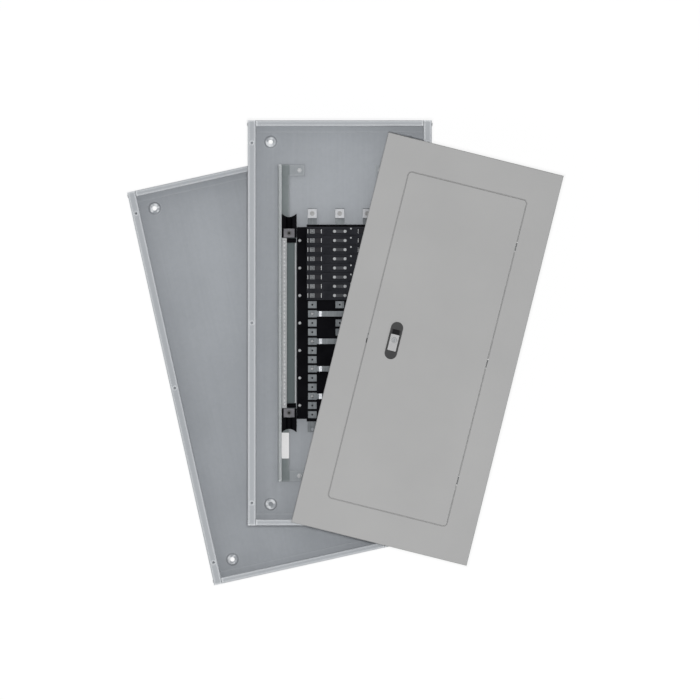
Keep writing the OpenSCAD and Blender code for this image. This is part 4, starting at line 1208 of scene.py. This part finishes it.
@dataclass
class SlideLatch(Assembly):
    """Oval latch housing, slide plate and lock plug."""

    ring_radius: float = 0.0078
    ring_section: float = 0.0009
    section_sides: int = 10
    ring_steps: int = 40

    def build(self) -> None:
        """Models the ring round the lock plug and dresses the latch."""
        self.dress(self.rack.latch_grey, "latch_housing")
        self.dress(self.rack.bright, "latch_slide")
        self.dress(self.rack.plated, "lock_plug", "latch_clip", "latch_bolt", "lock_cam")
        self._ring()

    def _ring(self) -> None:
        """Spins a small round section into the ring on the slide plate, round the plug."""
        low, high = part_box("lock_plug")
        centre = (low + high) / 2
        centre.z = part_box("latch_slide")[1].z
        Workpiece.clear()
        bpy.ops.mesh.primitive_circle_add(
            vertices=self.section_sides, radius=self.ring_section,
            location=(centre.x + self.ring_radius, centre.y, centre.z),
            rotation=(math.pi / 2, 0.0, 0.0),
        )
        ring = Workpiece("plug_ring")
        ring.pick(Part.VERTS)
        bpy.ops.mesh.spin(
            steps=self.ring_steps, angle=2 * math.pi, axis=(0.0, 0.0, 1.0), center=centre,
        )
        bpy.ops.mesh.select_all(action="SELECT")
        bpy.ops.mesh.remove_doubles(threshold=TOUCH)
        ring.close(Body.LATCH, Slot.BRIGHT, self.rack.bright)


@dataclass(frozen=True)
class StudioLamp:
    """A round area lamp, aimed at the middle of the set."""

    name: str
    place: Point
    size: float
    power: float
    mirrored: bool = True

    def hang(self) -> None:
        """Makes the lamp at its place and turns it."""
        data = bpy.data.lights.new(self.name, "AREA")
        data.shape = "DISK"
        data.size = self.size
        data.energy = self.power
        lamp = bpy.data.objects.new(self.name, data)
        lamp.location = self.place
        lamp.visible_glossy = self.mirrored
        lamp.rotation_euler = (-Vector(self.place)).to_track_quat("-Z", "Y").to_euler()
        bpy.context.scene.collection.objects.link(lamp)


@dataclass
class Studio:
    """Pale floor, even light from all round, a lamp overhead and weaker ones from two sides."""

    floor_size: float = 16.0
    floor_gap: float = 0.001
    floor_colour: Colour = (0.16, 0.16, 0.16)
    floor_glow: float = 0.86
    sky_light: float = 0.22
    direct_rays: tuple[str, ...] = ("Is Camera Ray", "Is Glossy Ray", "Is Transmission Ray")
    lamps: tuple[StudioLamp, ...] = (
        StudioLamp("overhead_lamp", (0.0, 0.0, 14.0), size=0.5, power=1260.0, mirrored=False),
        StudioLamp("side_lamp", (-3.4, 0.3, 3.0), size=1.2, power=14.0),
        StudioLamp("front_lamp", (2.6, -3.2, 1.6), size=1.2, power=30.0),
    )

    def build(self) -> None:
        """Makes the floor, the sky and the lamps."""
        self._floor()
        self._sky()
        for lamp in self.lamps:
            lamp.hang()

    def _seen_directly(self, sketch: NodeSketch) -> Socket:
        """Returns 1 for rays that show the background itself, 0 for rays that light the object."""
        rays = sketch.node("ShaderNodeLightPath").outputs
        return reduce(partial(sketch.arithmetic, "MAXIMUM"), map(rays.get, self.direct_rays))

    def _floor(self) -> None:
        """Lays a matt floor that is white to the camera and still takes a shadow."""
        Workpiece.clear()
        level = CAD_BOX[0].z - self.floor_gap
        bpy.ops.mesh.primitive_plane_add(size=self.floor_size, location=(0.0, 0.0, level))
        floor = Workpiece("studio_floor").object
        material = bpy.data.materials.new("studio_floor")
        material.use_nodes = True
        sketch = NodeSketch(material.node_tree)
        matt = sketch.node("ShaderNodeBsdfDiffuse", {"Color": self.floor_colour})
        strength = sketch.product(self._seen_directly(sketch), self.floor_glow)
        glow = sketch.node("ShaderNodeEmission", {"Color": WHITE, "Strength": strength})
        both = sketch.node("ShaderNodeAddShader", {0: matt, 1: glow})
        sketch.node("ShaderNodeOutputMaterial", {"Surface": both})
        floor.data.materials.append(material)

    def _sky(self) -> None:
        """Sets the even light, which is white where it is seen directly."""
        world = bpy.data.worlds.new("studio_sky")
        world.use_nodes = True
        sketch = NodeSketch(world.node_tree)
        strength = sketch.spread(self._seen_directly(sketch), UNIT, (self.sky_light, 1.0))
        light = sketch.node("ShaderNodeBackground", {"Color": WHITE, "Strength": strength})
        sketch.node("ShaderNodeOutputWorld", {"Surface": light})
        bpy.context.scene.world = world


@dataclass
class PhotoCamera:
    """Camera straight above the set, far enough to see hardly any perspective."""

    height: float = 20.0
    rim_level: float = 0.2922
    aim_x: float = 0.0150
    aim_y: float = 0.0100
    pixels: float = 700.0
    pixels_per_metre: float = 362.5
    sensor: float = 36.0

    def build(self) -> None:
        """Makes the camera and sets it as the scene's own."""
        data = bpy.data.cameras.new("photo_camera")
        data.sensor_width = self.sensor
        data.lens = self.pixels_per_metre * self.height * self.sensor / self.pixels
        data.dof.use_dof = False
        camera = bpy.data.objects.new("photo_camera", data)
        camera.location = (self.aim_x, self.aim_y, self.rim_level + self.height)
        bpy.context.scene.collection.objects.link(camera)
        bpy.context.scene.camera = camera
        bpy.context.scene.view_settings.view_transform = "Standard"


def main() -> None:
    """Builds and dresses the sub-assemblies in order, then the studio and the camera."""
    logging.basicConfig(level=logging.INFO, format="%(name)s: %(message)s")
    rack = FinishRack()
    BackBox(rack, "empty_box", rack.empty_zinc).build()
    BackBox(rack, "box", rack.fitted_zinc).build()
    for assembly in (RailStuds, BusInterior, NeutralBars, TrimFront, SlideLatch):
        assembly(rack).build()
    Studio().build()
    PhotoCamera().build()


if __name__ == "__main__":
    main()
